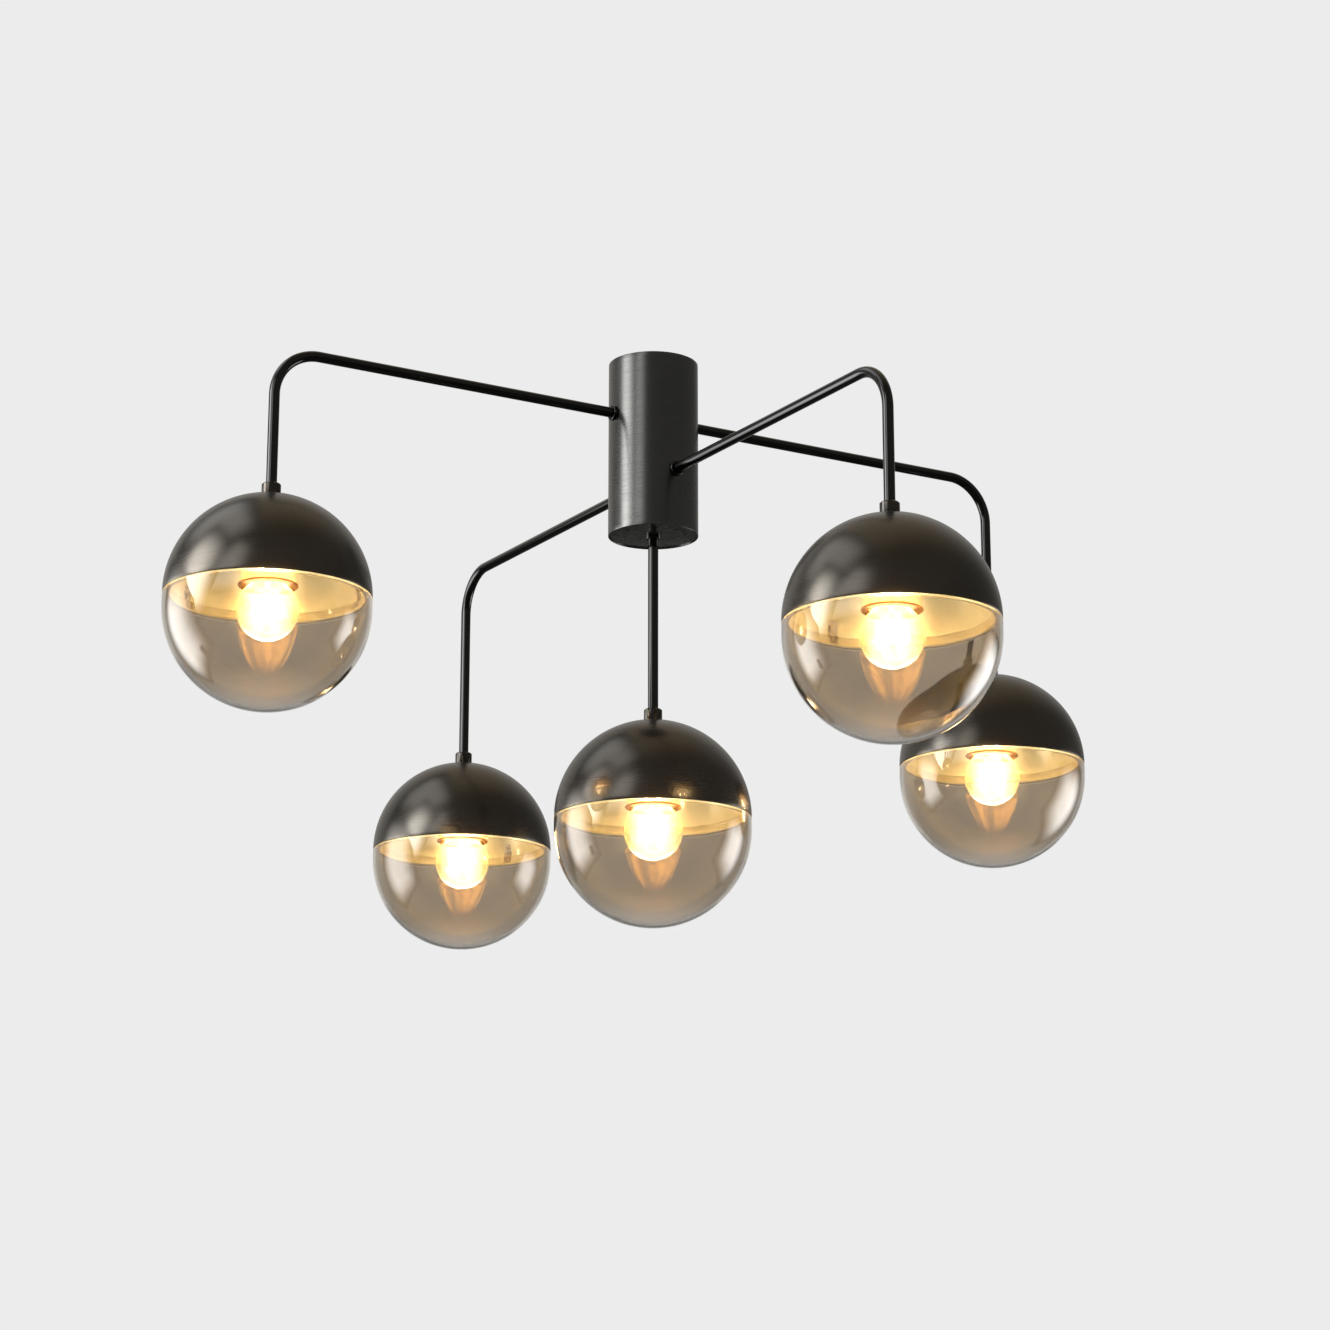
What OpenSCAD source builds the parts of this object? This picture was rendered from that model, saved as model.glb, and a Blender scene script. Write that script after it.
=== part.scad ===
// Branch chandelier: a short ceiling column, four bent tube arms and a centre rod.
// Each of the five carries a globe lamp: a spun metal cap over a clear glass bowl.
// Millimetres, +Z up. The origin is the centre of the column's top, on the ceiling.
// The right arm points arm_turn degrees from +X, and the others follow in quarter turns.

/* [Column] */
// Outside diameter of the column
column_d = 70; // [64:1:90]
// Height of the column below the ceiling
column_h = 140; // [130:1:170]
// Wall of the column's tube
column_wall = 1.2; // [1:0.1:2]
// Thickness of the plate that closes the column
base_t = 1.5; // [1:0.1:3]
// How far the plate sits up inside the column's lower edge
base_inset = 0.6; // [0.2:0.1:2]

/* [Ceiling strap] */
// Thickness of the strap
strap_t = 1.5; // [1:0.1:2.5]
// Width of the strap
strap_w = 18; // [14:1:20]
// Width of the two ears that are bent down
ear_w = 10; // [8:1:12]
// Length of each ear below the strap's top
ear_h = 14; // [12:1:18]
// Distance between the two ceiling slots
slot_spacing = 42; // [40:1:46]
// Length of each ceiling slot, end to end
slot_l = 11; // [7:1:12]
// Width of each ceiling slot
slot_w = 4.5; // [4:0.1:5]
// Thread diameter of the two screws that hold the column on the ears
side_screw_d = 4; // [3:0.5:5]
// Thread diameter of the earth screw
earth_screw_d = 4; // [3:0.5:5]
// Length of the strap's earth tab, from the strap's middle
earth_tab_l = 24; // [20:1:27]

/* [Wiring] */
// Pitch of the three poles of the terminal block
pole_pitch = 9; // [8:0.5:9]
// Depth of the terminal block, along the wires
pole_l = 16; // [14:1:18]
// Height of the terminal block without its screw towers
pole_h = 10; // [8:1:12]
// Height of the terminal block's screw towers
tower_h = 4; // [3:0.5:5]
// Diameter of the lamp cables
cable_d = 5; // [4:0.1:5.2]
// Bend radius of the lamp cables inside the column
cable_bend = 8; // [6:0.5:9]
// Distance from the column's axis at which the arm cables rise
cable_rise_r = 6; // [5.8:0.1:7]

/* [Arms] */
// Outside diameter of the arm tubes
tube_d = 8; // [7.8:0.1:10]
// Wall of the arm tubes
tube_wall = 1; // [0.6:0.1:1.2]
// Horizontal distance from the column's axis to the outer lamps
arm_reach = 320; // [260:5:400]
// Depth of the left and right arms below the ceiling
upper_arm_depth = 45; // [42:1:52]
// Depth of the front and back arms below the ceiling
lower_arm_depth = 94; // [84:1:104]
// Bend radius of the arms, to the tube's middle
bend_r = 35; // [25:1:50]
// Drop from the arm to the cap's rim, on the left and front lamps
short_drop = 188; // [170:1:220]
// Drop from the arm to the cap's rim, on the right and back lamps
long_drop = 241; // [221:1:280]
// Depth of the centre lamp's rim below the ceiling
centre_depth = 362; // [340:1:420]
// Direction of the right arm from +X
arm_turn = 30; // [0:1:60]

/* [Fixings] */
// Outside diameter of the rings round the column's holes
ring_d = 12; // [12:0.5:16]
// Height of the rings round the column's holes
ring_h = 3; // [2:0.5:5]
// Width across the flats of the nuts on the tubes
nut_af = 13; // [12.5:0.5:16]
// Thickness of the nuts on the tubes
nut_t = 4; // [3:0.5:5]
// Length of tube that shows past each nut inside the column
tube_past_nut = 2; // [1:0.5:3]
// Outside diameter of the collars above the caps
collar_d = 14; // [13:0.5:18]
// Height of the collars above the caps
collar_h = 10; // [6:0.5:14]

/* [Globe] */
// Outside diameter of the cap and the glass bowl
globe_d = 150; // [140:1:180]
// Sheet thickness of the cap
cap_wall = 1; // [0.8:0.1:1.4]
// Width of the hem that stiffens the cap's rim
hem_w = 1.8; // [1.6:0.1:2]
// Wall of the glass bowl
glass_wall = 2.2; // [1.5:0.1:3]
// Height of the bowl's straight band, below the cap's rim
band_h = 8.5; // [6:0.5:14]
// Height of the bowl's neck, above the cap's rim
neck_h = 6.5; // [5:0.5:8]
// How far the neck's outside stands in from the cap's outside
neck_inset = 3; // [3:0.1:4]
// Thickness of the spring clips that grip the neck
clip_t = 0.5; // [0.3:0.1:0.6]
// Angle that each spring clip spans round the rim
clip_span = 6; // [4:1:10]
// Height of the spring clips' feet above the cap's rim
clip_foot_h = 18; // [15:1:22]

/* [Lamp holder] */
// Outside diameter of the metal cup over the lamp holder
cup_d = 42; // [41:1:48]
// Height of the cup
cup_h = 62; // [56:1:64]
// Sheet thickness of the cup
cup_wall = 0.8; // [0.6:0.1:1.2]
// Height of the bead on the cup's lower edge
cup_bead = 1.6; // [1.2:0.1:2.4]
// Height of the holder's head, from its top to the floor of its socket
head_h = 24; // [22:1:28]
// Depth of tube screwed into the holder's head
head_grip = 8.5; // [6:0.5:10]
// Inside diameter of the holder's socket
socket_d = 28.6; // [28.6:0.1:30]
// Depth of the brass screw shell in the socket
screw_shell_h = 26; // [22:1:28]

/* [Bulb] */
// Diameter of the bulb's globe
bulb_d = 45; // [40:1:50]
// Length of the bulb over its contact
bulb_l = 75; // [72:1:80]
// Wall of the bulb's glass
bulb_wall = 0.9; // [0.6:0.1:1.2]
// Diameter of the bulb's screw base over its thread
base_d = 26.2; // [25.6:0.1:26.2]
// Length of the bulb's screw base with its contact
base_l = 27; // [25:1:28]
// Length of each filament
filament_l = 22; // [18:1:24]

/* [Fits] */
// Radial gap between a tube and a nut, ring or hole round it
thread_gap = 0.05; // [0.03:0.01:0.1]
// Gap between pieces that come off and what they seat on
seat_gap = 0.3; // [0.3:0.05:0.5]
// Radial gap of the column's plate in the column
plate_gap = 0.1; // [0.05:0.05:0.3]

/* [Hidden] */
$fn = 96;
eps = 1;

// Column and tubes
column_r = column_d / 2;
column_in_r = column_r - column_wall;
tube_r = tube_d / 2;
tube_bore_r = tube_r - tube_wall;
tube_hole_r = tube_r + thread_gap;
base_top_z = -column_h + base_inset + base_t;
nut_corner_r = nut_af / 2 / cos(30);
nut_seat_r = sqrt(pow(column_in_r, 2) - pow(nut_corner_r, 2));
tube_in_r = nut_seat_r - nut_t - tube_past_nut;
rod_top_z = base_top_z + nut_t + tube_past_nut;

// Each lamp: direction of its arm, depth of the arm and height of its cap's rim
LEFT = [arm_turn + 180, -upper_arm_depth, -upper_arm_depth - short_drop];
RIGHT = [arm_turn, -upper_arm_depth, -upper_arm_depth - long_drop];
FRONT = [arm_turn + 270, -lower_arm_depth, -lower_arm_depth - short_drop];
BACK = [arm_turn + 90, -lower_arm_depth, -lower_arm_depth - long_drop];
CENTRE = [arm_turn, 0, -centre_depth];
ARMS = [LEFT, RIGHT, FRONT, BACK];
function turn_of(lamp) = lamp[0];
function arm_z(lamp) = lamp[1];
function rim_z(lamp) = lamp[2];
function reach_of(lamp) = lamp == CENTRE ? 0 : arm_reach;

// Globe, measured from the centre of the cap's rim
globe_r = globe_d / 2;
cap_in_r = globe_r - cap_wall;
cap_flat_r = max(collar_d / 2, nut_corner_r) + 0.5;
cap_top = sqrt(pow(globe_r, 2) - pow(cap_flat_r, 2));
hem_r = hem_w / 2;
neck_r = globe_r - neck_inset;
shoulder_r = 1.2;
clip_turns = [60, 180, 300];
clip_toe_z = 1.5;
clip_bend_z = neck_h + 2.5;

// Lamp holder, from the cap's top down
cap_nut_z = cap_top - cap_wall - nut_t;
cup_top = cap_nut_z;
cup_rim = cup_top - cup_h;
cup_r = cup_d / 2;
holder_top = cup_top - cup_wall;
holder_r = cup_r - cup_wall - 0.4;
holder_rim = cup_rim + cup_bead;
tube_end = holder_top - head_grip;
socket_floor = holder_top - head_h;
socket_r = socket_d / 2;
chamber_r = 10;
chamber_floor = socket_floor + 4;
cable_end = chamber_floor + 4;
contact_t = 2;
contact_r = 3;
contact_face = socket_floor - contact_t;
shell_t = 0.5;
thread_pitch = 3.6;

// Bulb
bulb_tip = contact_face - seat_gap;
bulb_r = bulb_d / 2;
bulb_z = bulb_tip - bulb_l + bulb_r;
base_bottom = bulb_tip - base_l;
base_r = base_d / 2;
base_root_r = base_r - 0.9;
crest_r = 1.1;
tip_h = 1.5;
insulator_h = 5;
bulb_neck_r = base_root_r;
bulb_fillet = 6;
fillet_z = bulb_z + sqrt(pow(bulb_r + bulb_fillet, 2) - pow(bulb_neck_r + bulb_fillet, 2));
stem_r = 2.2;
filament_r = 0.8;
filament_ring_r = 7;
filament_z = bulb_z - 2;

// Ceiling strap
ear_face_x = sqrt(pow(column_in_r, 2) - pow(ear_w / 2, 2)) - 0.3;
strap_bend_r = 1;
side_screw_z = -ear_h + side_screw_d;
side_screw_r = side_screw_d / 2;
earth_r = earth_screw_d / 2;
earth_y = earth_tab_l - 6;
block_bottom = -strap_t - pole_h;
tower_bottom = block_bottom - tower_h;
tower_r = 3.2;
wire_screw_r = 1.7;
fixing_screw_r = 1.5;

// ---------------------------------------------------------------- shared shapes

// Places what follows at a lamp: origin at the centre of its cap's rim
module at_lamp(lamp) {
    rotate([0, 0, turn_of(lamp)])
        translate([reach_of(lamp), 0, rim_z(lamp)])
            children();
}

// Hexagonal nut that stands on its own origin, with a round bore
module nut(thick) {
    difference() {
        cylinder(r = nut_corner_r, h = thick, $fn = 6);
        translate([0, 0, -eps])
            cylinder(r = tube_hole_r, h = thick + 2 * eps);
    }
}

// Block against both axes whose free corner is round
module round_block(w, h, r) {
    square([w - r, h]);
    square([w, h - r]);
    translate([w - r, h - r])
        circle(r);
}

// Straight pipe that stands on its own origin, or a plain rod where the bore is 0
module pipe(r, bore, h) {
    difference() {
        cylinder(r = r, h = h);
        if (bore > 0)
            translate([0, 0, -eps])
                cylinder(r = bore, h = h + 2 * eps);
    }
}

// Quarter bend of a rod of radius r in the XY plane
module rod_bend(r, middle_r, start) {
    rotate_extrude(angle = 90, start = start)
        translate([middle_r, 0])
            circle(r);
}

// Quarter bend of a pipe, or of a plain rod where the bore is 0
module pipe_bend(r, bore, middle_r, start = 0) {
    difference() {
        rod_bend(r, middle_r, start);
        if (bore > 0)
            rod_bend(bore, middle_r, start);
    }
}

// Pipe along an arm, in from its bend to the column and down from it to the lamp
module arm_sweep(lamp, r, bore, start, end_above_rim) {
    drop = arm_z(lamp) - rim_z(lamp) - end_above_rim;
    rotate([0, 0, turn_of(lamp)])
        translate([arm_reach - bend_r, 0, arm_z(lamp)]) {
            rotate([0, -90, 0])
                pipe(r, bore, arm_reach - bend_r - start);
            translate([0, 0, -bend_r])
                rotate([90, 0, 0])
                    pipe_bend(r, bore, bend_r);
            translate([bend_r, 0, -bend_r])
                rotate([180, 0, 0])
                    pipe(r, bore, drop - bend_r);
        }
}

// Bent tube of one arm
module arm(lamp) {
    color("#1b1b1a")
        arm_sweep(lamp, tube_r, tube_bore_r, tube_in_r, tube_end);
}

// Cable of one arm: from the lamp holder through the arm and up to the terminals
module arm_cable(lamp) {
    cable_r = cable_d / 2;
    arm_sweep(lamp, cable_r, 0, cable_rise_r + cable_bend, cable_end);
    rotate([0, 0, turn_of(lamp)])
        translate([cable_rise_r, 0, arm_z(lamp) + cable_bend]) {
            translate([cable_bend, 0, 0])
                rotate([90, 0, 0])
                    pipe_bend(cable_r, 0, cable_bend, 180);
            cylinder(r = cable_r, h = tower_bottom - arm_z(lamp) - cable_bend);
        }
}

// ---------------------------------------------------------------- ceiling strap

// One slot for a ceiling screw
module ceiling_slot() {
    for (end = [-1, 1])
        translate([end * (slot_l - slot_w) / 2, 0, 0])
            cylinder(r = slot_w / 2, h = strap_t + 2 * eps);
    translate([-(slot_l - slot_w) / 2, -slot_w / 2, 0])
        cube([slot_l - slot_w, slot_w, strap_t + 2 * eps]);
}

// Ear bent down at the +X end of the strap, with its round bend
module strap_ear() {
    bend_out = strap_bend_r + strap_t;
    translate([ear_face_x - bend_out, ear_w / 2, -bend_out])
        rotate([90, 0, 0])
            rotate_extrude(angle = 90)
                translate([strap_bend_r, 0])
                    square([strap_t, ear_w]);
    translate([ear_face_x - strap_t, -ear_w / 2, -ear_h])
        cube([strap_t, ear_w, ear_h - bend_out]);
    translate([slot_spacing / 2, -ear_w / 2, -strap_t])
        cube([ear_face_x - bend_out - slot_spacing / 2, ear_w, strap_t]);
}

module ceiling_strap() {
    plate_l = slot_spacing + slot_l + 3;
    color("#b9bcbe")
        difference() {
            union() {
                translate([-plate_l / 2, -strap_w / 2, -strap_t])
                    cube([plate_l, strap_w, strap_t]);
                strap_ear();
                mirror([1, 0, 0])
                    strap_ear();
                translate([-6, 0, -strap_t])
                    cube([12, earth_y, strap_t]);
                translate([0, earth_y, -strap_t])
                    cylinder(r = 6, h = strap_t);
            }
            for (side = [-1, 1])
                translate([side * slot_spacing / 2, 0, -strap_t - eps])
                    ceiling_slot();
            translate([-column_r, 0, side_screw_z])
                rotate([0, 90, 0])
                    cylinder(r = side_screw_r + thread_gap, h = column_d);
            translate([0, earth_y, -strap_t - eps])
                cylinder(r = earth_r + thread_gap, h = strap_t + 2 * eps);
            translate([pole_pitch / 2, 0, -strap_t - eps])
                cylinder(r = fixing_screw_r + thread_gap, h = strap_t + 2 * eps);
        }
}

// Headless screws, turned out of the ears until they stand flush in the column
module side_screws() {
    screw_l = column_r - ear_face_x + strap_t + 1;
    color("#2b2b2a")
        for (turn = [0, 180])
            rotate([0, 0, turn])
                translate([column_r - screw_l - 0.2, 0, side_screw_z])
                    rotate([0, 90, 0])
                        difference() {
                            cylinder(r = side_screw_r, h = screw_l);
                            translate([0, 0, screw_l - side_screw_r])
                                cylinder(r = side_screw_r * 0.6, h = side_screw_r + eps, $fn = 6);
                        }
}

// Earth screw with its washer below the tab and its nut above the washer's clamp
module earth_screw() {
    head_h = earth_screw_d * 0.6;
    washer_t = 1;
    shank_l = strap_t + washer_t;
    color("#c9a44a")
        translate([0, earth_y, 0]) {
            difference() {
                union() {
                    translate([0, 0, -shank_l])
                        cylinder(r = earth_r, h = shank_l);
                    translate([0, 0, -shank_l - head_h])
                        cylinder(r = earth_screw_d, h = head_h);
                }
                translate([-earth_screw_d - eps, -0.5, -shank_l - head_h - eps])
                    cube([2 * (earth_screw_d + eps), 1, 1 + eps]);
            }
            translate([0, 0, -shank_l])
                difference() {
                    cylinder(r = earth_screw_d + 1, h = washer_t);
                    translate([0, 0, -eps])
                        cylinder(r = earth_r + thread_gap, h = washer_t + 2 * eps);
                }
        }
}

// Three-pole terminal block, hung under the strap with its screw towers down
module terminal_block() {
    block_w = 3 * pole_pitch;
    notch_r = 1;
    color("#e9e7df")
        difference() {
            union() {
                translate([-block_w / 2, -pole_l / 2, block_bottom])
                    cube([block_w, pole_l, pole_h]);
                for (pole = [-1:1], side = [-1, 1])
                    translate([pole * pole_pitch, side * pole_l / 4, tower_bottom])
                        cylinder(r = tower_r, h = tower_h + eps);
            }
            for (pole = [-1:1]) {
                for (side = [-1, 1])
                    translate([pole * pole_pitch, side * pole_l / 4, tower_bottom - eps])
                        cylinder(r = wire_screw_r + thread_gap, h = tower_h + pole_h / 2 + eps);
                translate([pole * pole_pitch, -pole_l / 2 - eps, block_bottom + pole_h / 2])
                    rotate([-90, 0, 0])
                        cylinder(r = 2, h = pole_l + 2 * eps);
            }
            for (gap = [-1, 1], side = [-1, 1])
                translate([gap * pole_pitch / 2, side * pole_l / 2, block_bottom - eps])
                    cylinder(r = notch_r, h = pole_h + 2 * eps);
            translate([pole_pitch / 2, 0, block_bottom - eps])
                cylinder(r = fixing_screw_r + thread_gap, h = pole_h + 2 * eps);
        }
}

module terminal_screws() {
    color("#c8b06a") {
        for (pole = [-1:1], side = [-1, 1])
            translate([pole * pole_pitch, side * pole_l / 4, tower_bottom + 1])
                difference() {
                    cylinder(r = wire_screw_r, h = tower_h - 1);
                    translate([-wire_screw_r - eps, -0.3, -eps])
                        cube([2 * (wire_screw_r + eps), 0.6, 0.6 + eps]);
                }
        translate([pole_pitch / 2, 0, block_bottom]) {
            cylinder(r = fixing_screw_r, h = pole_h + strap_t);
            translate([0, 0, -1.2])
                cylinder(r = 2.4, h = 1.2);
        }
    }
}

// ---------------------------------------------------------------- column

module column_shell() {
    color("#3a3a39")
        difference() {
            translate([0, 0, -column_h])
                cylinder(r = column_r, h = column_h);
            translate([0, 0, -column_h - eps])
                cylinder(r = column_in_r, h = column_h + 2 * eps);
            for (lamp = ARMS)
                rotate([0, 0, turn_of(lamp)])
                    translate([0, 0, arm_z(lamp)])
                        rotate([0, 90, 0])
                            cylinder(r = tube_hole_r, h = column_d);
            translate([-column_r - eps, 0, side_screw_z])
                rotate([0, 90, 0])
                    cylinder(r = side_screw_r + thread_gap, h = column_d + 2 * eps);
        }
}

module column_base() {
    color("#2d2d2c")
        translate([0, 0, -column_h + base_inset])
            difference() {
                cylinder(r = column_in_r - plate_gap, h = base_t);
                translate([0, 0, -eps])
                    cylinder(r = tube_hole_r, h = base_t + 2 * eps);
            }
}

// Rings on the outside of the column: four saddled to its wall, one under its plate
module hole_rings() {
    color("#1f1f1e") {
        for (lamp = ARMS)
            difference() {
                rotate([0, 0, turn_of(lamp)])
                    translate([column_r - ring_h, 0, arm_z(lamp)])
                        rotate([0, 90, 0])
                            difference() {
                                cylinder(r = ring_d / 2, h = 2 * ring_h);
                                translate([0, 0, -eps])
                                    cylinder(r = tube_hole_r, h = 2 * ring_h + 2 * eps);
                            }
                translate([0, 0, -column_h])
                    cylinder(r = column_r, h = column_h);
            }
        translate([0, 0, -column_h + base_inset - ring_h])
            difference() {
                cylinder(r = ring_d / 2, h = ring_h);
                translate([0, 0, -eps])
                    cylinder(r = tube_hole_r, h = ring_h + 2 * eps);
            }
    }
}

// Nuts inside the column, one on each tube
module lock_nuts() {
    color("#8d8f90") {
        for (lamp = ARMS)
            rotate([0, 0, turn_of(lamp)])
                translate([nut_seat_r - nut_t, 0, arm_z(lamp)])
                    rotate([0, 90, 0])
                        nut(nut_t);
        translate([0, 0, base_top_z])
            nut(nut_t);
    }
}

module arm_left() arm(LEFT);
module arm_right() arm(RIGHT);
module arm_front() arm(FRONT);
module arm_back() arm(BACK);

module centre_rod() {
    rod_end = rim_z(CENTRE) + tube_end;
    color("#1b1b1a")
        translate([0, 0, rod_end])
            pipe(tube_r, tube_bore_r, rod_top_z - rod_end);
}

module lamp_cables() {
    low_end = rim_z(CENTRE) + cable_end;
    color("#d8d5cc") {
        for (lamp = ARMS)
            arm_cable(lamp);
        translate([0, 0, low_end])
            cylinder(r = cable_d / 2, h = tower_bottom - low_end);
    }
}

// ---------------------------------------------------------------- globe

// Threaded collar on the tube, seated on the cap's flat top
module collar() {
    edge = 0.6;
    color("#26221f")
        translate([0, 0, cap_top])
            difference() {
                rotate_extrude()
                    round_block(collar_d / 2, collar_h, edge);
                translate([0, 0, -eps])
                    cylinder(r = tube_hole_r, h = collar_h + 2 * eps);
            }
}

// Spun cap: half a sphere with a flat top under the collar and a hemmed rim
module cap() {
    color("#3b3733")
        rotate_extrude()
            difference() {
                union() {
                    difference() {
                        intersection() {
                            circle(globe_r);
                            square([globe_r, cap_top]);
                        }
                        intersection() {
                            circle(cap_in_r);
                            translate([0, -eps])
                                square([globe_r, cap_top - cap_wall + eps]);
                        }
                    }
                    translate([globe_r - hem_r, hem_r])
                        circle(hem_r);
                }
                translate([0, -eps])
                    square([tube_hole_r, globe_r + 2 * eps]);
                translate([globe_r, hem_r])
                    square([2 * eps, globe_r]);
            }
}

// Glass bowl: round bottom, straight band, shoulder under the rim and a neck inside it
module shade() {
    shoulder_z = band_h - seat_gap;
    color("#b8b4ab", 0.4)
        translate([0, 0, -band_h])
            rotate_extrude()
                difference() {
                    union() {
                        intersection() {
                            circle(globe_r);
                            translate([0, -globe_r])
                                square([globe_r, globe_r]);
                        }
                        round_block(globe_r, shoulder_z, shoulder_r);
                        round_block(neck_r, band_h + neck_h, glass_wall / 2);
                    }
                    intersection() {
                        circle(globe_r - glass_wall);
                        translate([0, -globe_r])
                            square([globe_r, globe_r + eps / 2]);
                    }
                    round_block(globe_r - glass_wall, shoulder_z - glass_wall, shoulder_r);
                    square([neck_r - glass_wall, band_h + neck_h + eps]);
                }
}

// Spring clips that grip the neck, three in each cap
module clips() {
    foot_r = cap_in_r;
    leaf_r = foot_r - clip_t;
    toe_r = neck_r + seat_gap;
    bend_out = sqrt(pow(foot_r, 2) - pow(clip_bend_z, 2));
    bend_in = sqrt(pow(leaf_r, 2) - pow(clip_bend_z, 2));
    for (turn = clip_turns)
        rotate([0, 0, turn - clip_span / 2])
            rotate_extrude(angle = clip_span) {
                intersection() {
                    difference() {
                        circle(foot_r);
                        circle(leaf_r);
                    }
                    translate([0, clip_bend_z])
                        square([globe_r, clip_foot_h - clip_bend_z]);
                }
                polygon([[toe_r, clip_toe_z], [toe_r + clip_t, clip_toe_z],
                    [bend_out, clip_bend_z], [bend_in, clip_bend_z]]);
            }
}

// ---------------------------------------------------------------- lamp holder

// Metal cup round the holder, clamped under the cap's nut
module cup() {
    color("#c79a3e")
        rotate_extrude()
            difference() {
                union() {
                    translate([0, cup_rim])
                        round_block(cup_r, cup_h, 3);
                    translate([cup_r, cup_rim + cup_bead / 2])
                        circle(cup_bead / 2);
                }
                translate([0, cup_rim - eps])
                    round_block(cup_r - cup_wall, cup_h - cup_wall + eps, 3 - cup_wall);
                square([tube_hole_r, cup_top + eps]);
            }
}

// Insulating holder: threaded head, wiring chamber, floor and socket
module holder() {
    skirt_step = 2;
    color("#ece8de")
        rotate_extrude()
            difference() {
                translate([0, holder_rim])
                    round_block(holder_r, holder_top - holder_rim, 3);
                translate([0, tube_end - eps])
                    square([tube_hole_r, head_grip + 2 * eps]);
                translate([0, chamber_floor])
                    square([chamber_r, tube_end - chamber_floor]);
                square([contact_r / 2, chamber_floor + eps]);
                square([socket_r, socket_floor]);
                translate([0, holder_rim - eps])
                    square([socket_r + skirt_step, skirt_step + eps]);
            }
}

// Brass screw shell, pressed into the socket
module screw_shell() {
    shell_out_r = socket_r - thread_gap;
    crest_in_r = base_r + seat_gap;
    turns = floor((screw_shell_h - thread_pitch) / thread_pitch);
    rotate_extrude()
        difference() {
            translate([0, socket_floor - screw_shell_h])
                square([shell_out_r, screw_shell_h]);
            translate([0, socket_floor - screw_shell_h - eps])
                square([crest_in_r, screw_shell_h + 2 * eps]);
            for (step = [1:turns])
                translate([crest_in_r - crest_r / 2, socket_floor - step * thread_pitch])
                    circle(crest_r * 0.8);
        }
}

// Centre contact on the socket's floor
module centre_contact() {
    flange_r = 6;
    translate([0, 0, contact_face])
        cylinder(r = contact_r, h = contact_t);
    translate([0, 0, socket_floor - shell_t])
        cylinder(r = flange_r, h = shell_t);
}

// ---------------------------------------------------------------- bulb

// Outline of the bulb's glass at a given depth below its surface
module bulb_outline(depth) {
    outline_r = bulb_r - depth;
    throat_r = bulb_neck_r - depth;
    throat_top = base_bottom;
    flare_r = bulb_fillet + depth;
    flare_x = bulb_neck_r + bulb_fillet;
    touch = outline_r / (bulb_r + bulb_fillet);
    touch_x = flare_x * touch;
    touch_z = bulb_z + (fillet_z - bulb_z) * touch;
    translate([0, bulb_z])
        intersection() {
            circle(outline_r);
            translate([0, -bulb_r])
                square([bulb_r, bulb_d]);
        }
    difference() {
        polygon([[0, bulb_z], [touch_x, touch_z], [flare_x, fillet_z], [throat_r, fillet_z], [0, fillet_z]]);
        translate([flare_x, fillet_z])
            circle(flare_r);
    }
    translate([0, bulb_z])
        square([throat_r, throat_top - bulb_z]);
}

module bulb_glass() {
    color("#f3efe4", 0.4)
        rotate_extrude()
            difference() {
                bulb_outline(0);
                bulb_outline(bulb_wall);
                translate([0, base_bottom])
                    square([base_r, base_l]);
            }
}

// Screw base: rolled thread, insulator and contact
module bulb_base() {
    shell_h = base_l - tip_h - insulator_h;
    crests = floor((shell_h - thread_pitch) / thread_pitch);
    color("#b7b2a6") {
        translate([0, 0, base_bottom])
            rotate_extrude() {
                square([base_root_r, shell_h]);
                for (crest = [0:crests])
                    translate([base_r - crest_r, crest_r + 1 + crest * thread_pitch])
                        circle(crest_r);
            }
        translate([0, 0, base_bottom + shell_h])
            cylinder(r1 = base_root_r, r2 = contact_r + 2, h = insulator_h);
        translate([0, 0, bulb_tip - tip_h])
            cylinder(r = contact_r + 1.5, h = tip_h);
    }
}

// Glass stem with four filaments round it
module filament() {
    stem_h = base_bottom - filament_z;
    wire_r = 0.5;
    color("#ffd27a")
        union() {
            translate([0, 0, filament_z])
                cylinder(r = stem_r, h = stem_h);
            translate([0, 0, base_bottom - 3])
                cylinder(r1 = stem_r, r2 = bulb_neck_r - 3, h = 3);
            for (turn = [45:90:315])
                rotate([0, 0, turn])
                    translate([filament_ring_r, 0, filament_z - filament_l / 2]) {
                        cylinder(r = filament_r, h = filament_l);
                        translate([0, 0, filament_l / 2 + 1])
                            rotate([0, -90, 0])
                                cylinder(r = wire_r, h = filament_ring_r);
                    }
        }
}

// ---------------------------------------------------------------- repeated pieces

module collar_left() at_lamp(LEFT) collar();
module collar_right() at_lamp(RIGHT) collar();
module collar_front() at_lamp(FRONT) collar();
module collar_back() at_lamp(BACK) collar();
module collar_centre() at_lamp(CENTRE) collar();

module cap_left() at_lamp(LEFT) cap();
module cap_right() at_lamp(RIGHT) cap();
module cap_front() at_lamp(FRONT) cap();
module cap_back() at_lamp(BACK) cap();
module cap_centre() at_lamp(CENTRE) cap();

module cup_left() at_lamp(LEFT) cup();
module cup_right() at_lamp(RIGHT) cup();
module cup_front() at_lamp(FRONT) cup();
module cup_back() at_lamp(BACK) cup();
module cup_centre() at_lamp(CENTRE) cup();

module holder_left() at_lamp(LEFT) holder();
module holder_right() at_lamp(RIGHT) holder();
module holder_front() at_lamp(FRONT) holder();
module holder_back() at_lamp(BACK) holder();
module holder_centre() at_lamp(CENTRE) holder();

module shade_left() at_lamp(LEFT) shade();
module shade_right() at_lamp(RIGHT) shade();
module shade_front() at_lamp(FRONT) shade();
module shade_back() at_lamp(BACK) shade();
module shade_centre() at_lamp(CENTRE) shade();

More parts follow.
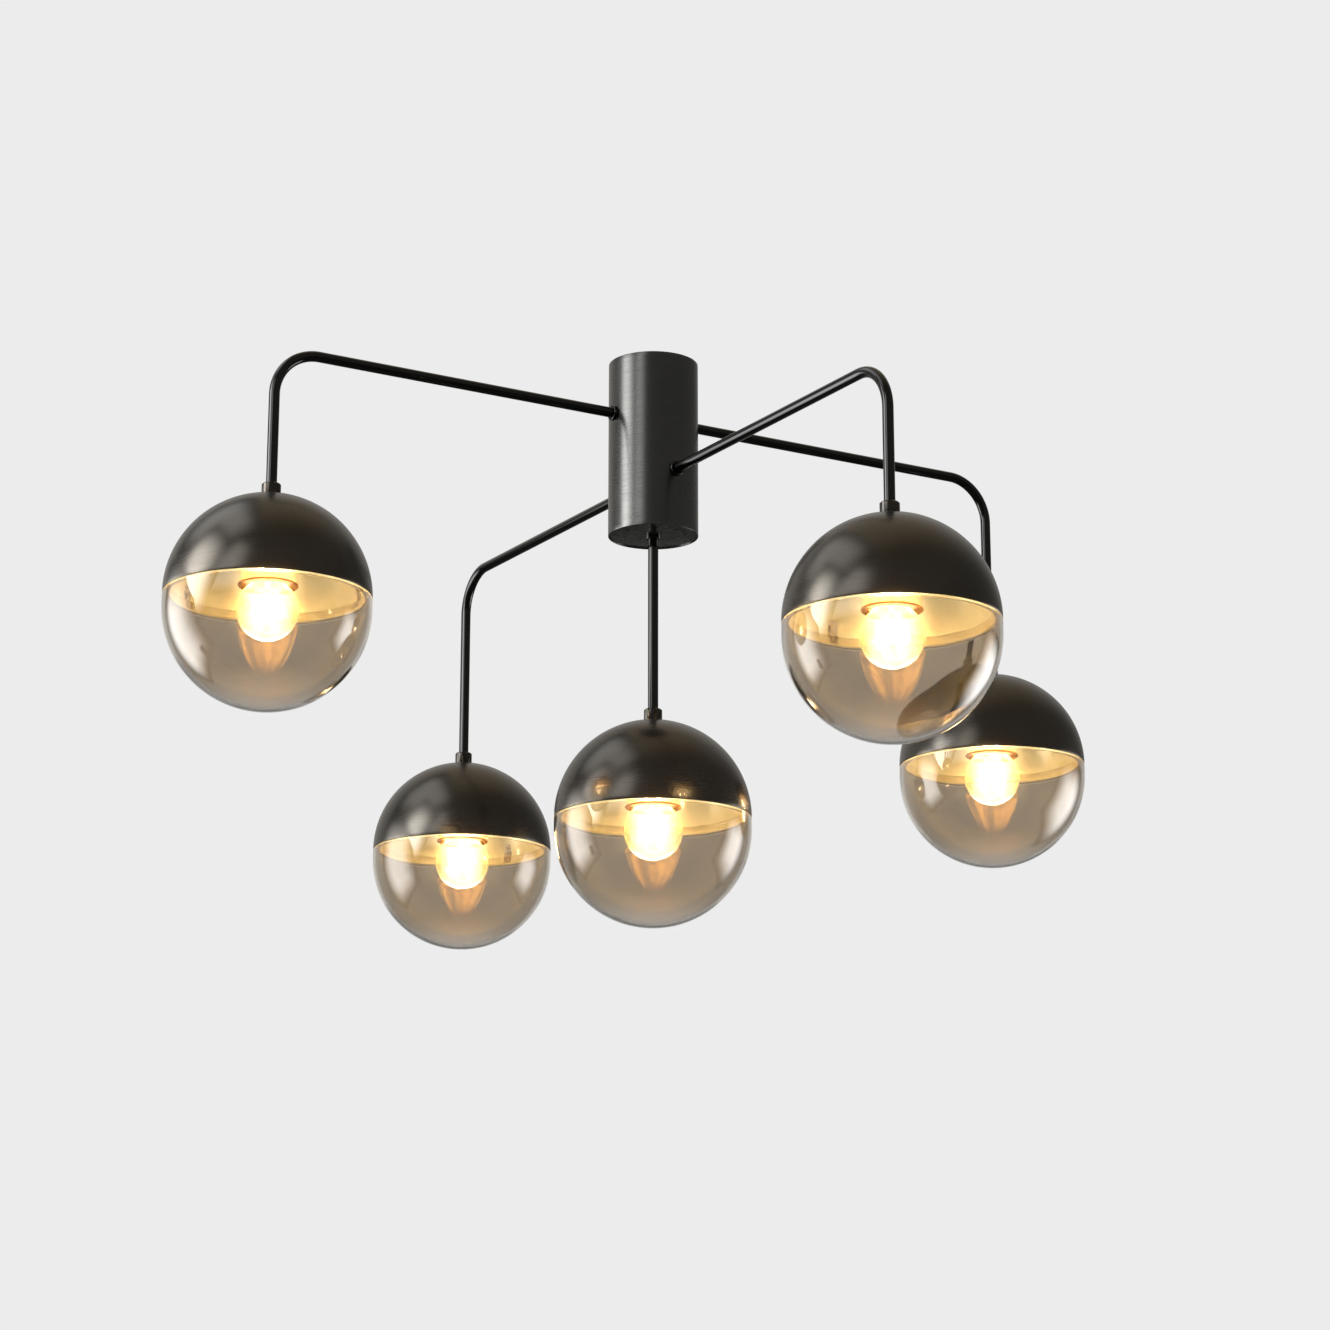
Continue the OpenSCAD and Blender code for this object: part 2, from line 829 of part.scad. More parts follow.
module bulb_left() at_lamp(LEFT) bulb_glass();
module bulb_right() at_lamp(RIGHT) bulb_glass();
module bulb_front() at_lamp(FRONT) bulb_glass();
module bulb_back() at_lamp(BACK) bulb_glass();
module bulb_centre() at_lamp(CENTRE) bulb_glass();

module bulb_base_left() at_lamp(LEFT) bulb_base();
module bulb_base_right() at_lamp(RIGHT) bulb_base();
module bulb_base_front() at_lamp(FRONT) bulb_base();
module bulb_base_back() at_lamp(BACK) bulb_base();
module bulb_base_centre() at_lamp(CENTRE) bulb_base();

module filament_left() at_lamp(LEFT) filament();
module filament_right() at_lamp(RIGHT) filament();
module filament_front() at_lamp(FRONT) filament();
module filament_back() at_lamp(BACK) filament();
module filament_centre() at_lamp(CENTRE) filament();

module at_each_lamp() {
    for (lamp = [LEFT, RIGHT, FRONT, BACK, CENTRE])
        at_lamp(lamp)
            children();
}

module cap_nuts() color("#8d8f90") at_each_lamp() translate([0, 0, cap_nut_z]) nut(nut_t);
module screw_shells() color("#c9a44a") at_each_lamp() screw_shell();
module centre_contacts() color("#c9a44a") at_each_lamp() centre_contact();
module shade_clips() color("#b9bcbe") at_each_lamp() clips();

ceiling_strap();
side_screws();
earth_screw();
terminal_block();
terminal_screws();
column_shell();
column_base();
hole_rings();
lock_nuts();
arm_left();
arm_right();
arm_front();
arm_back();
centre_rod();
lamp_cables();
collar_left();
collar_right();
collar_front();
collar_back();
collar_centre();
cap_left();
cap_right();
cap_front();
cap_back();
cap_centre();
cup_left();
cup_right();
cup_front();
cup_back();
cup_centre();
holder_left();
holder_right();
holder_front();
holder_back();
holder_centre();
shade_left();
shade_right();
shade_front();
shade_back();
shade_centre();
bulb_left();
bulb_right();
bulb_front();
bulb_back();
bulb_centre();
bulb_base_left();
bulb_base_right();
bulb_base_front();
bulb_base_back();
bulb_base_centre();
filament_left();
filament_right();
filament_front();
filament_back();
filament_centre();
cap_nuts();
screw_shells();
centre_contacts();
shade_clips();
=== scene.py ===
"""Branch chandelier: pieces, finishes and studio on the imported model, in metres and in its frame."""

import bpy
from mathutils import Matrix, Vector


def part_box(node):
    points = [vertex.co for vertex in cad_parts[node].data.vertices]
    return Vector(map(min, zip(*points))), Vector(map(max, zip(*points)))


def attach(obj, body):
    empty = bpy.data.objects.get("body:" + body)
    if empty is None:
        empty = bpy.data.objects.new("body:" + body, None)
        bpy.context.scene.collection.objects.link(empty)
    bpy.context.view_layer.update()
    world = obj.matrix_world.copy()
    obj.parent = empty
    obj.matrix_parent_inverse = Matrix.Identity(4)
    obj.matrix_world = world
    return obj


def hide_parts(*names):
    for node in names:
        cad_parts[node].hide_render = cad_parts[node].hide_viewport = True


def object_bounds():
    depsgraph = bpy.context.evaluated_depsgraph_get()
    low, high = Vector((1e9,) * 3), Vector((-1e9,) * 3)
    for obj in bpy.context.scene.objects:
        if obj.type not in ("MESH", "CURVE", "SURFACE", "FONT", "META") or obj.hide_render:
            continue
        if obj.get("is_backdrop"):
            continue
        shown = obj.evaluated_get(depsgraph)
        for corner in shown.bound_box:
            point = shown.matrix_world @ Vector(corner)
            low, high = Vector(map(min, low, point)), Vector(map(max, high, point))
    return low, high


bl_info = {
    "name": "Branch Chandelier",
    "version": (1, 0, 0),
    "blender": (4, 5, 0),
    "location": "3D View > Sidebar > Chandelier",
    "description": "Builds the shown pieces, finishes and studio of a five-lamp branch chandelier",
    "category": "Object",
}

from functools import partial
from math import asin, atan2, cos, degrees, pi, radians, sin, sqrt

import bmesh
import bpy
from bpy.props import FloatProperty, FloatVectorProperty, PointerProperty
from bpy.types import Operator, Panel, PropertyGroup
from mathutils import Euler, Matrix, Vector

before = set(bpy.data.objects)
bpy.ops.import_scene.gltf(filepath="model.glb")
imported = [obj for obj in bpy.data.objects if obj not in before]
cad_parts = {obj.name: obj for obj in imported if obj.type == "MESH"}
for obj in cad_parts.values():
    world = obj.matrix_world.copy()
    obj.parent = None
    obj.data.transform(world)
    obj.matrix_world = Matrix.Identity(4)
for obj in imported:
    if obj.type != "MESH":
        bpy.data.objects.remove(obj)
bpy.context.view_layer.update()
COLUMN_TOP, COLUMN_FOOT = (corner.z for corner in reversed(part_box("column_shell")))

LAMPS = ("left", "right", "front", "back", "centre")
QUARTERS = {"left": 2, "right": 0, "front": 3, "back": 1}
UPPER_ARMS = ("left", "right")
SHORT_DROPS = ("left", "front")
ROOT = "frame"
ALONG_X = Matrix.Rotation(pi / 2, 4, "Y")  # turns what stands along Z to lie along X
RING_SINK = 0.0001  # how far a ring's foot goes into the column's wall
RIM_EDGE = 0.0005  # rounding outside on a cap's rim


# ------------------------------------------------------------------ sizes and colours


def length(name, description, default):
    return FloatProperty(name=name, description=description, default=default, min=0, unit="LENGTH", precision=4)


def height(name, description, default):
    return FloatProperty(name=name, description=description, default=default, unit="LENGTH", precision=5)


def angle(name, description, default):
    return FloatProperty(name=name, description=description, default=radians(default), unit="ROTATION")


def colour(name, description, default):
    return FloatVectorProperty(name=name, description=description, default=default, size=3, min=0, max=1,
                               subtype="COLOR")


def share(name, description, default, most=1.0):
    return FloatProperty(name=name, description=description, default=default, min=0, max=most)


class ColumnSizes(PropertyGroup):
    """Column, its plate and the rings round its holes"""

    radius: length("Radius", "Outside radius of the column", 0.035)
    wall: length("Wall", "Wall of the column's tube", 0.0012)
    edge: length("Edge", "Rounding of the column's cut edges", 0.0003)
    plate_radius: length("Plate radius", "Radius of the plate that closes the lower end", 0.0337)
    plate_inset: length("Plate inset", "How far the plate sits up inside the tube", 0.0006)
    plate_thickness: length("Plate thickness", "Thickness of the plate", 0.0015)
    ring_radius: length("Ring radius", "Outside radius of the ring round each hole", 0.006)
    ring_height: length("Ring height", "How far a ring stands off the column", 0.003)
    ring_edge: length("Ring edge", "Rounding of a ring's outer edge", 0.0007)


class ArmSizes(PropertyGroup):
    """Tubes and the places of the lamps"""

    tube_radius: length("Tube radius", "Outside radius of every tube", 0.004)
    bore_radius: length("Bore radius", "Inside radius of every tube", 0.003)
    bend: length("Bend", "Radius of a bend, at the tube's middle", 0.035)
    reach: length("Reach", "From the column's axis to the middle of a hanging tube", 0.32)
    turn: angle("Turn", "Direction of the right arm", 30)
    upper: length("Upper depth", "Depth of the two upper arms below the ceiling", 0.045)
    lower: length("Lower depth", "Depth of the two lower arms below the ceiling", 0.094)
    short_drop: length("Short drop", "From an arm down to the cap's rim, left and front", 0.188)
    long_drop: length("Long drop", "From an arm down to the cap's rim, right and back", 0.241)
    centre_depth: length("Centre depth", "Depth of the centre lamp's rim below the ceiling", 0.362)
    start: length("Start", "Where an arm's tube ends inside the column, from its axis", 0.0272)
    fit: length("Fit", "Play of a tube in its hole, at its radius", 0.00005)


class LampSizes(PropertyGroup):
    """Cap, bowl, cup and collar, measured from the centre of the cap's rim"""

    globe: length("Globe radius", "Outside radius of the cap and the bowl", 0.075)
    cap_wall: length("Cap wall", "Sheet of the spun cap", 0.001)
    flat: length("Flat", "Radius of the flat on the cap's top", 0.008)
    hem: length("Hem", "Radius of the rolled rim", 0.0009)
    glass: length("Glass", "Wall of the bowl", 0.0022)
    band: length("Band", "Height of the bowl's straight band under the rim", 0.0085)
    neck_inset: length("Neck inset", "How far the bowl's neck is smaller than the globe", 0.003)
    neck: length("Neck", "Height of the bowl's neck inside the cap", 0.0065)
    shoulder: length("Shoulder", "Rounding of the bowl's shoulder", 0.0005)
    web: length("Web", "Thickness of the bowl's shoulder", 0.0009)
    gap: length("Gap", "Gap between the bowl's shoulder and the cap's rim", 0.0003)
    cup: length("Cup radius", "Outside radius of the cup round the lamp holder", 0.021)
    cup_low: length("Cup foot", "Height of the cup's lower end over the rim", 0.00757)
    cup_high: length("Cup top", "Height of the cup's top over the rim", 0.06957)
    cup_wall: length("Cup wall", "Sheet of the cup", 0.0008)
    cup_round: length("Cup rounding", "Rounding of the cup's top edge", 0.003)
    cup_lip: length("Cup lip", "Inside radius of the cup's turned-in lower edge", 0.0152)
    collar: length("Collar radius", "Outside radius of the collar", 0.007)
    collar_height: length("Collar height", "Height of the collar over the cap", 0.01)
    collar_edge: length("Collar edge", "Chamfer of the collar's upper edge", 0.0009)


class BulbSizes(PropertyGroup):
    """Globe bulb, measured from the centre of the cap's rim"""

    radius: length("Radius", "Radius of the bulb's globe", 0.0225)
    middle: height("Middle", "Height of the globe's centre", -0.01003)
    base: length("Base", "Height of the screw base's lower end", 0.01547)
    neck: length("Neck", "Radius of the bulb's neck", 0.0122)
    fillet: length("Fillet", "Rounding between globe and neck", 0.006)
    wall: length("Wall", "Wall of the bulb's glass", 0.0009)
    stem: length("Stem", "Radius of the glass stem", 0.0022)
    ring: length("Ring", "Radius of the circle of filaments", 0.007)
    filament: length("Filament radius", "Radius of a filament", 0.0008)
    filament_length: length("Filament length", "Length of a filament", 0.022)
    filament_middle: height("Filament middle", "Height of the filaments' middle", -0.01203)
    wire: length("Wire", "Radius of the lead wires", 0.0005)


class Finishes(PropertyGroup):
    """Colours of the finishes"""

    column: colour("Column", "Brushed gunmetal of the column", (0.125, 0.125, 0.118))
    tube: colour("Tubes", "Gloss black nickel of the tubes", (0.045, 0.045, 0.043))
    cap: colour("Caps", "Satin black nickel of the caps", (0.098, 0.090, 0.078))
    bronze: colour("Bronze tone", "Warm tone where the black nickel is thin", (0.24, 0.18, 0.13))
    gold: colour("Gold", "Gold inside the caps and on the cups", (0.99, 0.93, 0.70))
    smoke: colour("Smoke", "Tint of the smoked glass", (0.565, 0.512, 0.442))
    light: colour("Light", "Colour of the lit filaments", (1.0, 0.89, 0.65))


class StudioSizes(PropertyGroup):
    """Camera, lights and floor"""

    focal: FloatProperty(name="Focal length", description="Lens of the camera, on a 36 mm sensor", default=82.96)
    pitch: angle("Pitch", "How far the camera looks up", 14.195)
    yaw: angle("Yaw", "How far the camera is turned", -0.571)
    floor: length("Floor", "Depth of the floor below the ceiling", 2.35)
    floor_radius: length("Floor radius", "Radius of the round floor", 9.0)
    backdrop: share("Backdrop", "Brightness of the pale backdrop", 0.8395)
    key: share("Key light", "Brightness of the high softbox on the left", 7.8, 100.0)
    side: share("Side light", "Brightness of the low softbox on the left", 5.0, 100.0)
    low: share("Low light", "Brightness of the low softbox on the right", 5.0, 100.0)
    fill: share("Fill light", "Brightness of the large panel at the front left", 2.05, 100.0)
    top: share("Top light", "Brightness of the ceiling on the left", 1.5, 100.0)
    rear: share("Rear wall", "Brightness of the wall behind, high on the left, in mirrors", 0.35, 100.0)
    room: share("Room", "Brightness of the room that the metal mirrors", 0.15, 100.0)


def sizes(group):
    return getattr(bpy.context.scene, "chandelier_" + group)


def tube_hole():
    return sizes("arms").tube_radius + sizes("arms").fit


def cap_top():
    return sqrt(sizes("lamps").globe ** 2 - sizes("lamps").flat ** 2)


def arm_height(lamp):
    arm = sizes("arms")
    return -(arm.upper if lamp in UPPER_ARMS else arm.lower)


def arm_turn(lamp):
    return sizes("arms").turn + QUARTERS[lamp] * pi / 2


def on_arm(lamp, out):
    """Place on the straight run of an arm, that far from the column's axis and turned along the arm."""
    return Matrix.Rotation(arm_turn(lamp), 4, "Z") @ Matrix.Translation((out, 0, arm_height(lamp)))


def rim_centre(lamp):
    """Centre of the rim of one lamp's cap."""
    arm = sizes("arms")
    if lamp == "centre":
        return Vector((0, 0, -arm.centre_depth))
    turn, drop = arm_turn(lamp), arm.short_drop if lamp in SHORT_DROPS else arm.long_drop
    return Vector((arm.reach * cos(turn), arm.reach * sin(turn), arm_height(lamp) - drop))


# ------------------------------------------------------------------ mesh work


class Outline:
    """Half of a round piece's section in the XZ plane, drawn with lines and arcs and spun about Z."""

    def __init__(self, radius, height):
        self.mesh = bmesh.new()
        self.first = self.last = self.mesh.verts.new((radius, 0, height))

    def line(self, radius, height):
        made = bmesh.ops.extrude_vert_indiv(self.mesh, verts=[self.last])
        self.last = made["verts"][0]
        self.last.co = (radius, 0, height)
        return self

    def arc(self, radius, height, turn, steps):
        """Turns the last point about a centre; a positive turn goes from up to outwards."""
        made = bmesh.ops.spin(self.mesh, geom=[self.last], cent=(radius, 0, height), axis=(0, 1, 0),
                              angle=radians(turn), steps=steps, use_duplicate=False)
        self.last = next(v for v in made["geom_last"] if isinstance(v, bmesh.types.BMVert))
        return self

    def close(self):
        bmesh.ops.contextual_create(self.mesh, geom=[self.first, self.last])
        return self

    def spun(self, segments):
        """Turns the outline into a round mesh, with its corners welded and its faces outwards."""
        mesh = self.mesh
        bmesh.ops.rotate(mesh, verts=mesh.verts[:], matrix=Matrix.Rotation(pi / segments, 3, "Z"))
        bmesh.ops.spin(mesh, geom=mesh.edges[:] + mesh.verts[:], cent=(0, 0, 0), axis=(0, 0, 1), angle=2 * pi,
                       steps=segments, use_merge=True, use_duplicate=False)
        bmesh.ops.remove_doubles(mesh, verts=mesh.verts[:], dist=2e-6)
        bmesh.ops.dissolve_degenerate(mesh, edges=mesh.edges[:], dist=1e-7)
        bmesh.ops.recalc_face_normals(mesh, faces=mesh.faces[:])
        return mesh


def linked(mesh, name):
    """Makes a scene object of a bmesh, and frees the bmesh."""
    data = bpy.data.meshes.new(name)
    mesh.to_mesh(data)
    mesh.free()
    made = bpy.data.objects.new(name, data)
    bpy.context.scene.collection.objects.link(made)
    return made


def finished(mesh, name, body, slot, finishes, nodes, place=Matrix(), pick=None, crease=35.0):
    """Makes the object of a finished mesh, seats it on its body and lets it stand for its CAD nodes."""
    own = mesh.verts.layers.float_vector.new("own")
    for v in mesh.verts:
        v[own] = v.co
    if pick:
        for face in mesh.faces:
            face.material_index = pick(face)
    bmesh.ops.transform(mesh, matrix=place, verts=mesh.verts[:])
    for face in mesh.faces:
        face.smooth = True
    for edge in mesh.edges:
        edge.smooth = edge.is_manifold and edge.calc_face_angle(0) < radians(crease)
    piece = linked(mesh, name)
    for finish in finishes:
        piece.data.materials.append(material(finish))
    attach(piece, body)
    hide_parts(*nodes)


def bent_tube(run, bend, drop, outer, bore):
    """Pipe from the origin along X, with a quarter bend down and a straight drop."""
    mesh = bmesh.new()
    for radius in (outer, bore):
        bmesh.ops.create_circle(mesh, segments=32, radius=radius, matrix=ALONG_X)
    start = mesh.edges[:]

    def edges(grown):
        return [e for e in grown if isinstance(e, bmesh.types.BMEdge)]

    def straight(section, way):
        grown = bmesh.ops.extrude_edge_only(mesh, edges=section)["geom"]
        bmesh.ops.translate(mesh, verts=[v for v in grown if isinstance(v, bmesh.types.BMVert)], vec=way)
        return edges(grown)

    section = straight(start, (run, 0, 0))
    section = edges(bmesh.ops.spin(mesh, geom=section + list({v for e in section for v in e.verts}),
                                   cent=(run, 0, -bend), axis=(0, 1, 0), angle=pi / 2, steps=28,
                                   use_duplicate=False)["geom_last"])
    for loops in (start, straight(section, (0, 0, -drop))):
        bmesh.ops.bridge_loops(mesh, edges=loops)
    bmesh.ops.recalc_face_normals(mesh, faces=mesh.faces[:])
    return mesh


# ------------------------------------------------------------------ node work


class Nodes:
    """Nodes of one tree, fed with values or with sockets of other nodes."""

    def __init__(self, tree, shader=None):
        self.tree, self.shader = tree, shader

    def put(self, kind, inputs=None, **options):
        """Adds a shader node, sets its options and feeds its inputs."""
        new = self.tree.nodes.new("ShaderNode" + kind)
        for name, value in options.items():
            setattr(new, name, value)
        for name, value in (inputs or {}).items():
            self.feed(new.inputs[name], value)
        return new

    def feed(self, socket, value):
        if isinstance(value, bpy.types.NodeSocket):
            self.tree.links.new(value, socket)
        elif hasattr(value, "__len__") and len(value) == 3 and socket.type == "RGBA":
            socket.default_value = (*value, 1.0)
        else:
            socket.default_value = value

    def shade(self, inputs):
        """Feeds sockets of the material's own shader."""
        for name, value in inputs.items():
            self.feed(self.shader.inputs[name], value)

    def maths(self, operation, a, b=0.0, clamp=False):
        return self.put("Math", {0: a, 1: b}, operation=operation, use_clamp=clamp).outputs[0]

    def plus(self, a, b, clamp=False):
        return self.maths("ADD", a, b, clamp)

    def minus(self, a, b, clamp=False):
        return self.maths("SUBTRACT", a, b, clamp)

    def times(self, a, b):
        return self.maths("MULTIPLY", a, b)

    def vectors(self, operation, a, b, result=0):
        return self.put("VectorMath", {0: a, 1: b}, operation=operation).outputs[result]

    def scaled(self, vector, size):
        return self.put("VectorMath", {0: vector, "Scale": size}, operation="SCALE").outputs[0]

    def blend(self, factor, a, b):
        return self.put("Mix", {0: factor, 6: a, 7: b}, data_type="RGBA").outputs[2]

    def spread(self, value, low, high, to_low=0.0, to_high=1.0, kind="LINEAR"):
        ends = {"Value": value, "From Min": low, "From Max": high, "To Min": to_low, "To Max": to_high}
        return self.put("MapRange", ends, interpolation_type=kind).outputs[0]

    def soft(self, value, low, high, to_low=0.0, to_high=1.0):
        return self.spread(value, low, high, to_low, to_high, "SMOOTHSTEP")

    def noise(self, vector, scale, detail=2.0, roughness=0.5, distortion=0.0):
        return self.put("TexNoise", {"Vector": vector, "Scale": scale, "Detail": detail, "Roughness": roughness,
                                     "Distortion": distortion}).outputs[0]

    def relief(self, height, distance):
        """Bumps the surface of the material's own shader."""
        self.shade({"Normal": self.put("Bump", {"Height": height, "Distance": distance}).outputs[0]})

    def place(self):
        return self.put("TexCoord").outputs["Object"]

    def axis(self, vector, name="Z"):
        return self.put("SeparateXYZ", {0: vector}).outputs[name]

    def own(self):
        """Place on the piece itself, from the middle of its cap's rim on the lamps' pieces."""
        return self.put("Attribute", attribute_name="own").outputs["Vector"]

    def path(self, name):
        return self.put("LightPath").outputs[name]

    def mirrored(self):
        """One for a ray from a mirroring surface, none for one that comes straight or through glass."""
        path = self.put("LightPath").outputs
        return self.minus(path["Is Glossy Ray"], path["Is Transmission Ray"], clamp=True)

    def lay_out(self):
        """Sets the nodes in columns by how far they are from the output."""
        depth = {node.name: 0 for node in self.tree.nodes}
        for _ in range(MOST_COLUMNS):
            for link in self.tree.links:
                source = link.from_node.name
                depth[source] = max(depth[source], min(depth[link.to_node.name] + 1, MOST_COLUMNS))
        rows = {}
        for node in self.tree.nodes:
            column = depth[node.name]
            rows[column] = rows.get(column, 0) + 1
            node.location = (-240 * column, -260 * rows[column])


MOST_COLUMNS = 24
SOCKETS = {float: "NodeSocketFloat", tuple: "NodeSocketColor", Vector: "NodeSocketVector"}


def spun_lines(n, given):
    """Fine lines left by spinning or brushing: a noise drawn out across its lines."""
    drawn = n.vectors("DIVIDE", given["Vector"], given["Spacing"])
    both = n.times(n.plus(n.noise(drawn, 0.45, roughness=0.6), n.noise(drawn, 2.1, roughness=0.7)), 0.5)
    return n.spread(both, 0.36, 0.64)


def tone_drift(n, given):
    """Slow drift between two tones of a plating, a lacquer or a glaze."""
    cloud = n.noise(given["Vector"], n.maths("DIVIDE", 1.0, given["Size"]), 4.0, 0.55, 0.4)
    mask = n.soft(cloud, 0.35, 0.68)
    return n.blend(n.times(mask, given["Amount"]), given["Tone"], given["Other tone"])


def handling(n, given):
    """Roughness that wanders between two values, with soft wiped streaks and a few small specks."""
    scale = n.maths("DIVIDE", 1.0, given["Size"])
    wiped = n.noise(given["Vector"], scale, 5.0, 0.6, 1.2)
    grit = n.put("TexVoronoi", {"Vector": given["Vector"], "Scale": n.times(scale, 9.0)}).outputs["Distance"]
    specks = n.soft(grit, 0.10, 0.02)
    level = n.plus(n.spread(wiped, 0.3, 0.7), n.times(specks, 0.35), clamp=True)
    return n.plus(given["Smooth"], n.times(level, n.minus(given["Dull"], given["Smooth"])))


def worn_edges(n, given):
    """Mask of sharp outer edges, broken up so that wear doesn't run along them as a line."""
    sharp = n.put("NewGeometry").outputs["Pointiness"]
    edge = n.soft(sharp, 0.505, n.plus(0.505, given["Reach"]))
    return n.times(edge, n.spread(n.noise(given["Vector"], 260.0, 3.0), 0.35, 0.6))


def settled_dust(n, given):
    """Mask of faces that look up, where a little dust lies."""
    up = n.axis(n.put("NewGeometry").outputs["Normal"])
    grains = n.noise(given["Vector"], 900.0, roughness=0.8)
    lying = n.times(n.soft(up, 0.35, 0.98), n.spread(grains, 0.42, 0.62))
    return n.times(lying, given["Amount"])


# The name of each shared effect, its inputs besides the place, and its output, with their defaults
EFFECTS = {
    spun_lines: ("Spun lines", {"Spacing": Vector((0.05, 0.05, 0.0006))}, {"Lines": 0.0}),
    tone_drift: ("Tone drift",
                 {"Size": 0.04, "Tone": (0.1, 0.1, 0.1), "Other tone": (0.2, 0.2, 0.2), "Amount": 0.3},
                 {"Colour": (0.1, 0.1, 0.1)}),
    handling: ("Handling", {"Size": 0.03, "Smooth": 0.2, "Dull": 0.3}, {"Roughness": 0.0}),
    worn_edges: ("Worn edges", {"Reach": 0.04}, {"Wear": 0.0}),
    settled_dust: ("Settled dust", {"Amount": 0.2}, {"Dust": 0.0}),
}


def use(n, effect, place, inputs):
    """Places a shared effect in a material, as a node group that is built the first time."""
    name, defaults, output = EFFECTS[effect]
    tree = bpy.data.node_groups.get(name)
    if not tree:
        tree = bpy.data.node_groups.new(name, "ShaderNodeTree")
        for side, sockets in (("INPUT", {"Vector": Vector(), **defaults}), ("OUTPUT", output)):
            for label, default in sockets.items():
                new = tree.interface.new_socket(name=label, in_out=side, socket_type=SOCKETS[type(default)])
                new.default_value = (*default, 1.0) if type(default) is tuple else default
        given, made = tree.nodes.new("NodeGroupInput").outputs, tree.nodes.new("NodeGroupOutput").inputs
        group = Nodes(tree)
        group.feed(made[0], effect(group, given))
        group.lay_out()
    return n.put("Group", {"Vector": place, **inputs}, node_tree=tree).outputs[0]


# ------------------------------------------------------------------ finishes


# Painted light: an even glow on the gold inside the caps, standing in for the bulbs' light on it
GOLD_PAINTED_LIGHT = 0.36  # emission that brings the gold up to the photo's brightness
# Painted glare: the cups glow only where mirrors see them, for their bright bulb-lit look in the bowls' far wall
CUP_PAINTED_GLARE = 9.0  # emission of the cups, which only mirroring surfaces see
# Painted light: the bowls' necks glow as if lit by the gold round them, though they are no lamps
NECK_PAINTED_GLOW = 0.07  # emission of the bowl's neck, lit by the gold round it
BULB_SHINE = 0.8  # emission of the bulbs' glass
BULB_IN_MIRRORS = 1.3  # the same where another surface mirrors the bulb
FILAMENT_LIGHT = 400.0  # emission of the filaments, which light the lamps


def metal(n, tone, other, drift=0.3, smooth=0.2, dull=0.3, size=0.03, spacing=None, relief=0.000004,
          line_tone=0.12, wear=None, dust=0.0, patch=0.04):
    """Plated or bare metal: drifting tone, wiped roughness, brushed or spun lines, worn edges and dust."""
    place = n.place()
    shown = use(n, tone_drift, place, {"Size": patch, "Tone": tone, "Other tone": other, "Amount": drift})
    rough = use(n, handling, place, {"Size": size, "Smooth": smooth, "Dull": dull})
    if spacing:
        height = use(n, spun_lines, place, {"Spacing": spacing})
        shown = n.blend(n.times(height, line_tone), shown, (0.0, 0.0, 0.0))
        rough = n.plus(rough, n.times(height, 0.05))
    else:
        height = n.noise(place, 420.0)
    n.relief(height, relief)
    if wear:
        edge = use(n, worn_edges, place, {"Reach": 0.05})
        shown = n.blend(n.times(edge, 0.7), shown, wear)
    if dust:
        lying = use(n, settled_dust, place, {"Amount": dust})
        shown = n.blend(lying, shown, (0.42, 0.41, 0.38))
        rough = n.plus(rough, n.times(lying, 0.4))
    n.shade({"Base Color": shown, "Roughness": rough, "Metallic": 1.0})


def column_metal(n):
    tone = sizes("finishes").column
    metal(n, tone, Vector(tone) * 1.35, drift=0.12, smooth=0.22, dull=0.26, size=0.05,
          spacing=(0.06, 0.06, 0.0008), relief=0.0000015, wear=(0.45, 0.45, 0.43), dust=0.05)


def tube_metal(n):
    tone = sizes("finishes").tube
    metal(n, tone, Vector(tone) * 1.4, drift=0.2, smooth=0.10, dull=0.13, size=0.05, relief=0.0000001, dust=0.02,
          patch=0.03)
    n.shade({"Coat Weight": 0.3, "Coat Roughness": 0.05})


def cap_metal(n):
    metal(n, sizes("finishes").cap, sizes("finishes").bronze, drift=0.08, smooth=0.20, dull=0.26, size=0.07,
          spacing=(0.08, 0.08, 0.0011), relief=0.0000002, line_tone=0.05, wear=(0.30, 0.25, 0.18), dust=0.06,
          patch=0.07)


def cap_gold(n):
    """Spun gold with an even painted glow for the bulbs' light, redder where another surface mirrors it."""
    tone = sizes("finishes").gold
    metal(n, tone, Vector(tone) * 0.88, smooth=0.15, dull=0.21, size=0.06, spacing=(0.09, 0.09, 0.0016),
          relief=0.000001, line_tone=0.05)
    # Painted light on the gold, with a redder painted reflection where another surface mirrors it
    n.shade({"Metallic": 0.60, "Emission Strength": GOLD_PAINTED_LIGHT,
             "Emission Color": n.blend(n.mirrored(), (0.92, 0.77, 0.32), (0.9, 0.46, 0.10))})


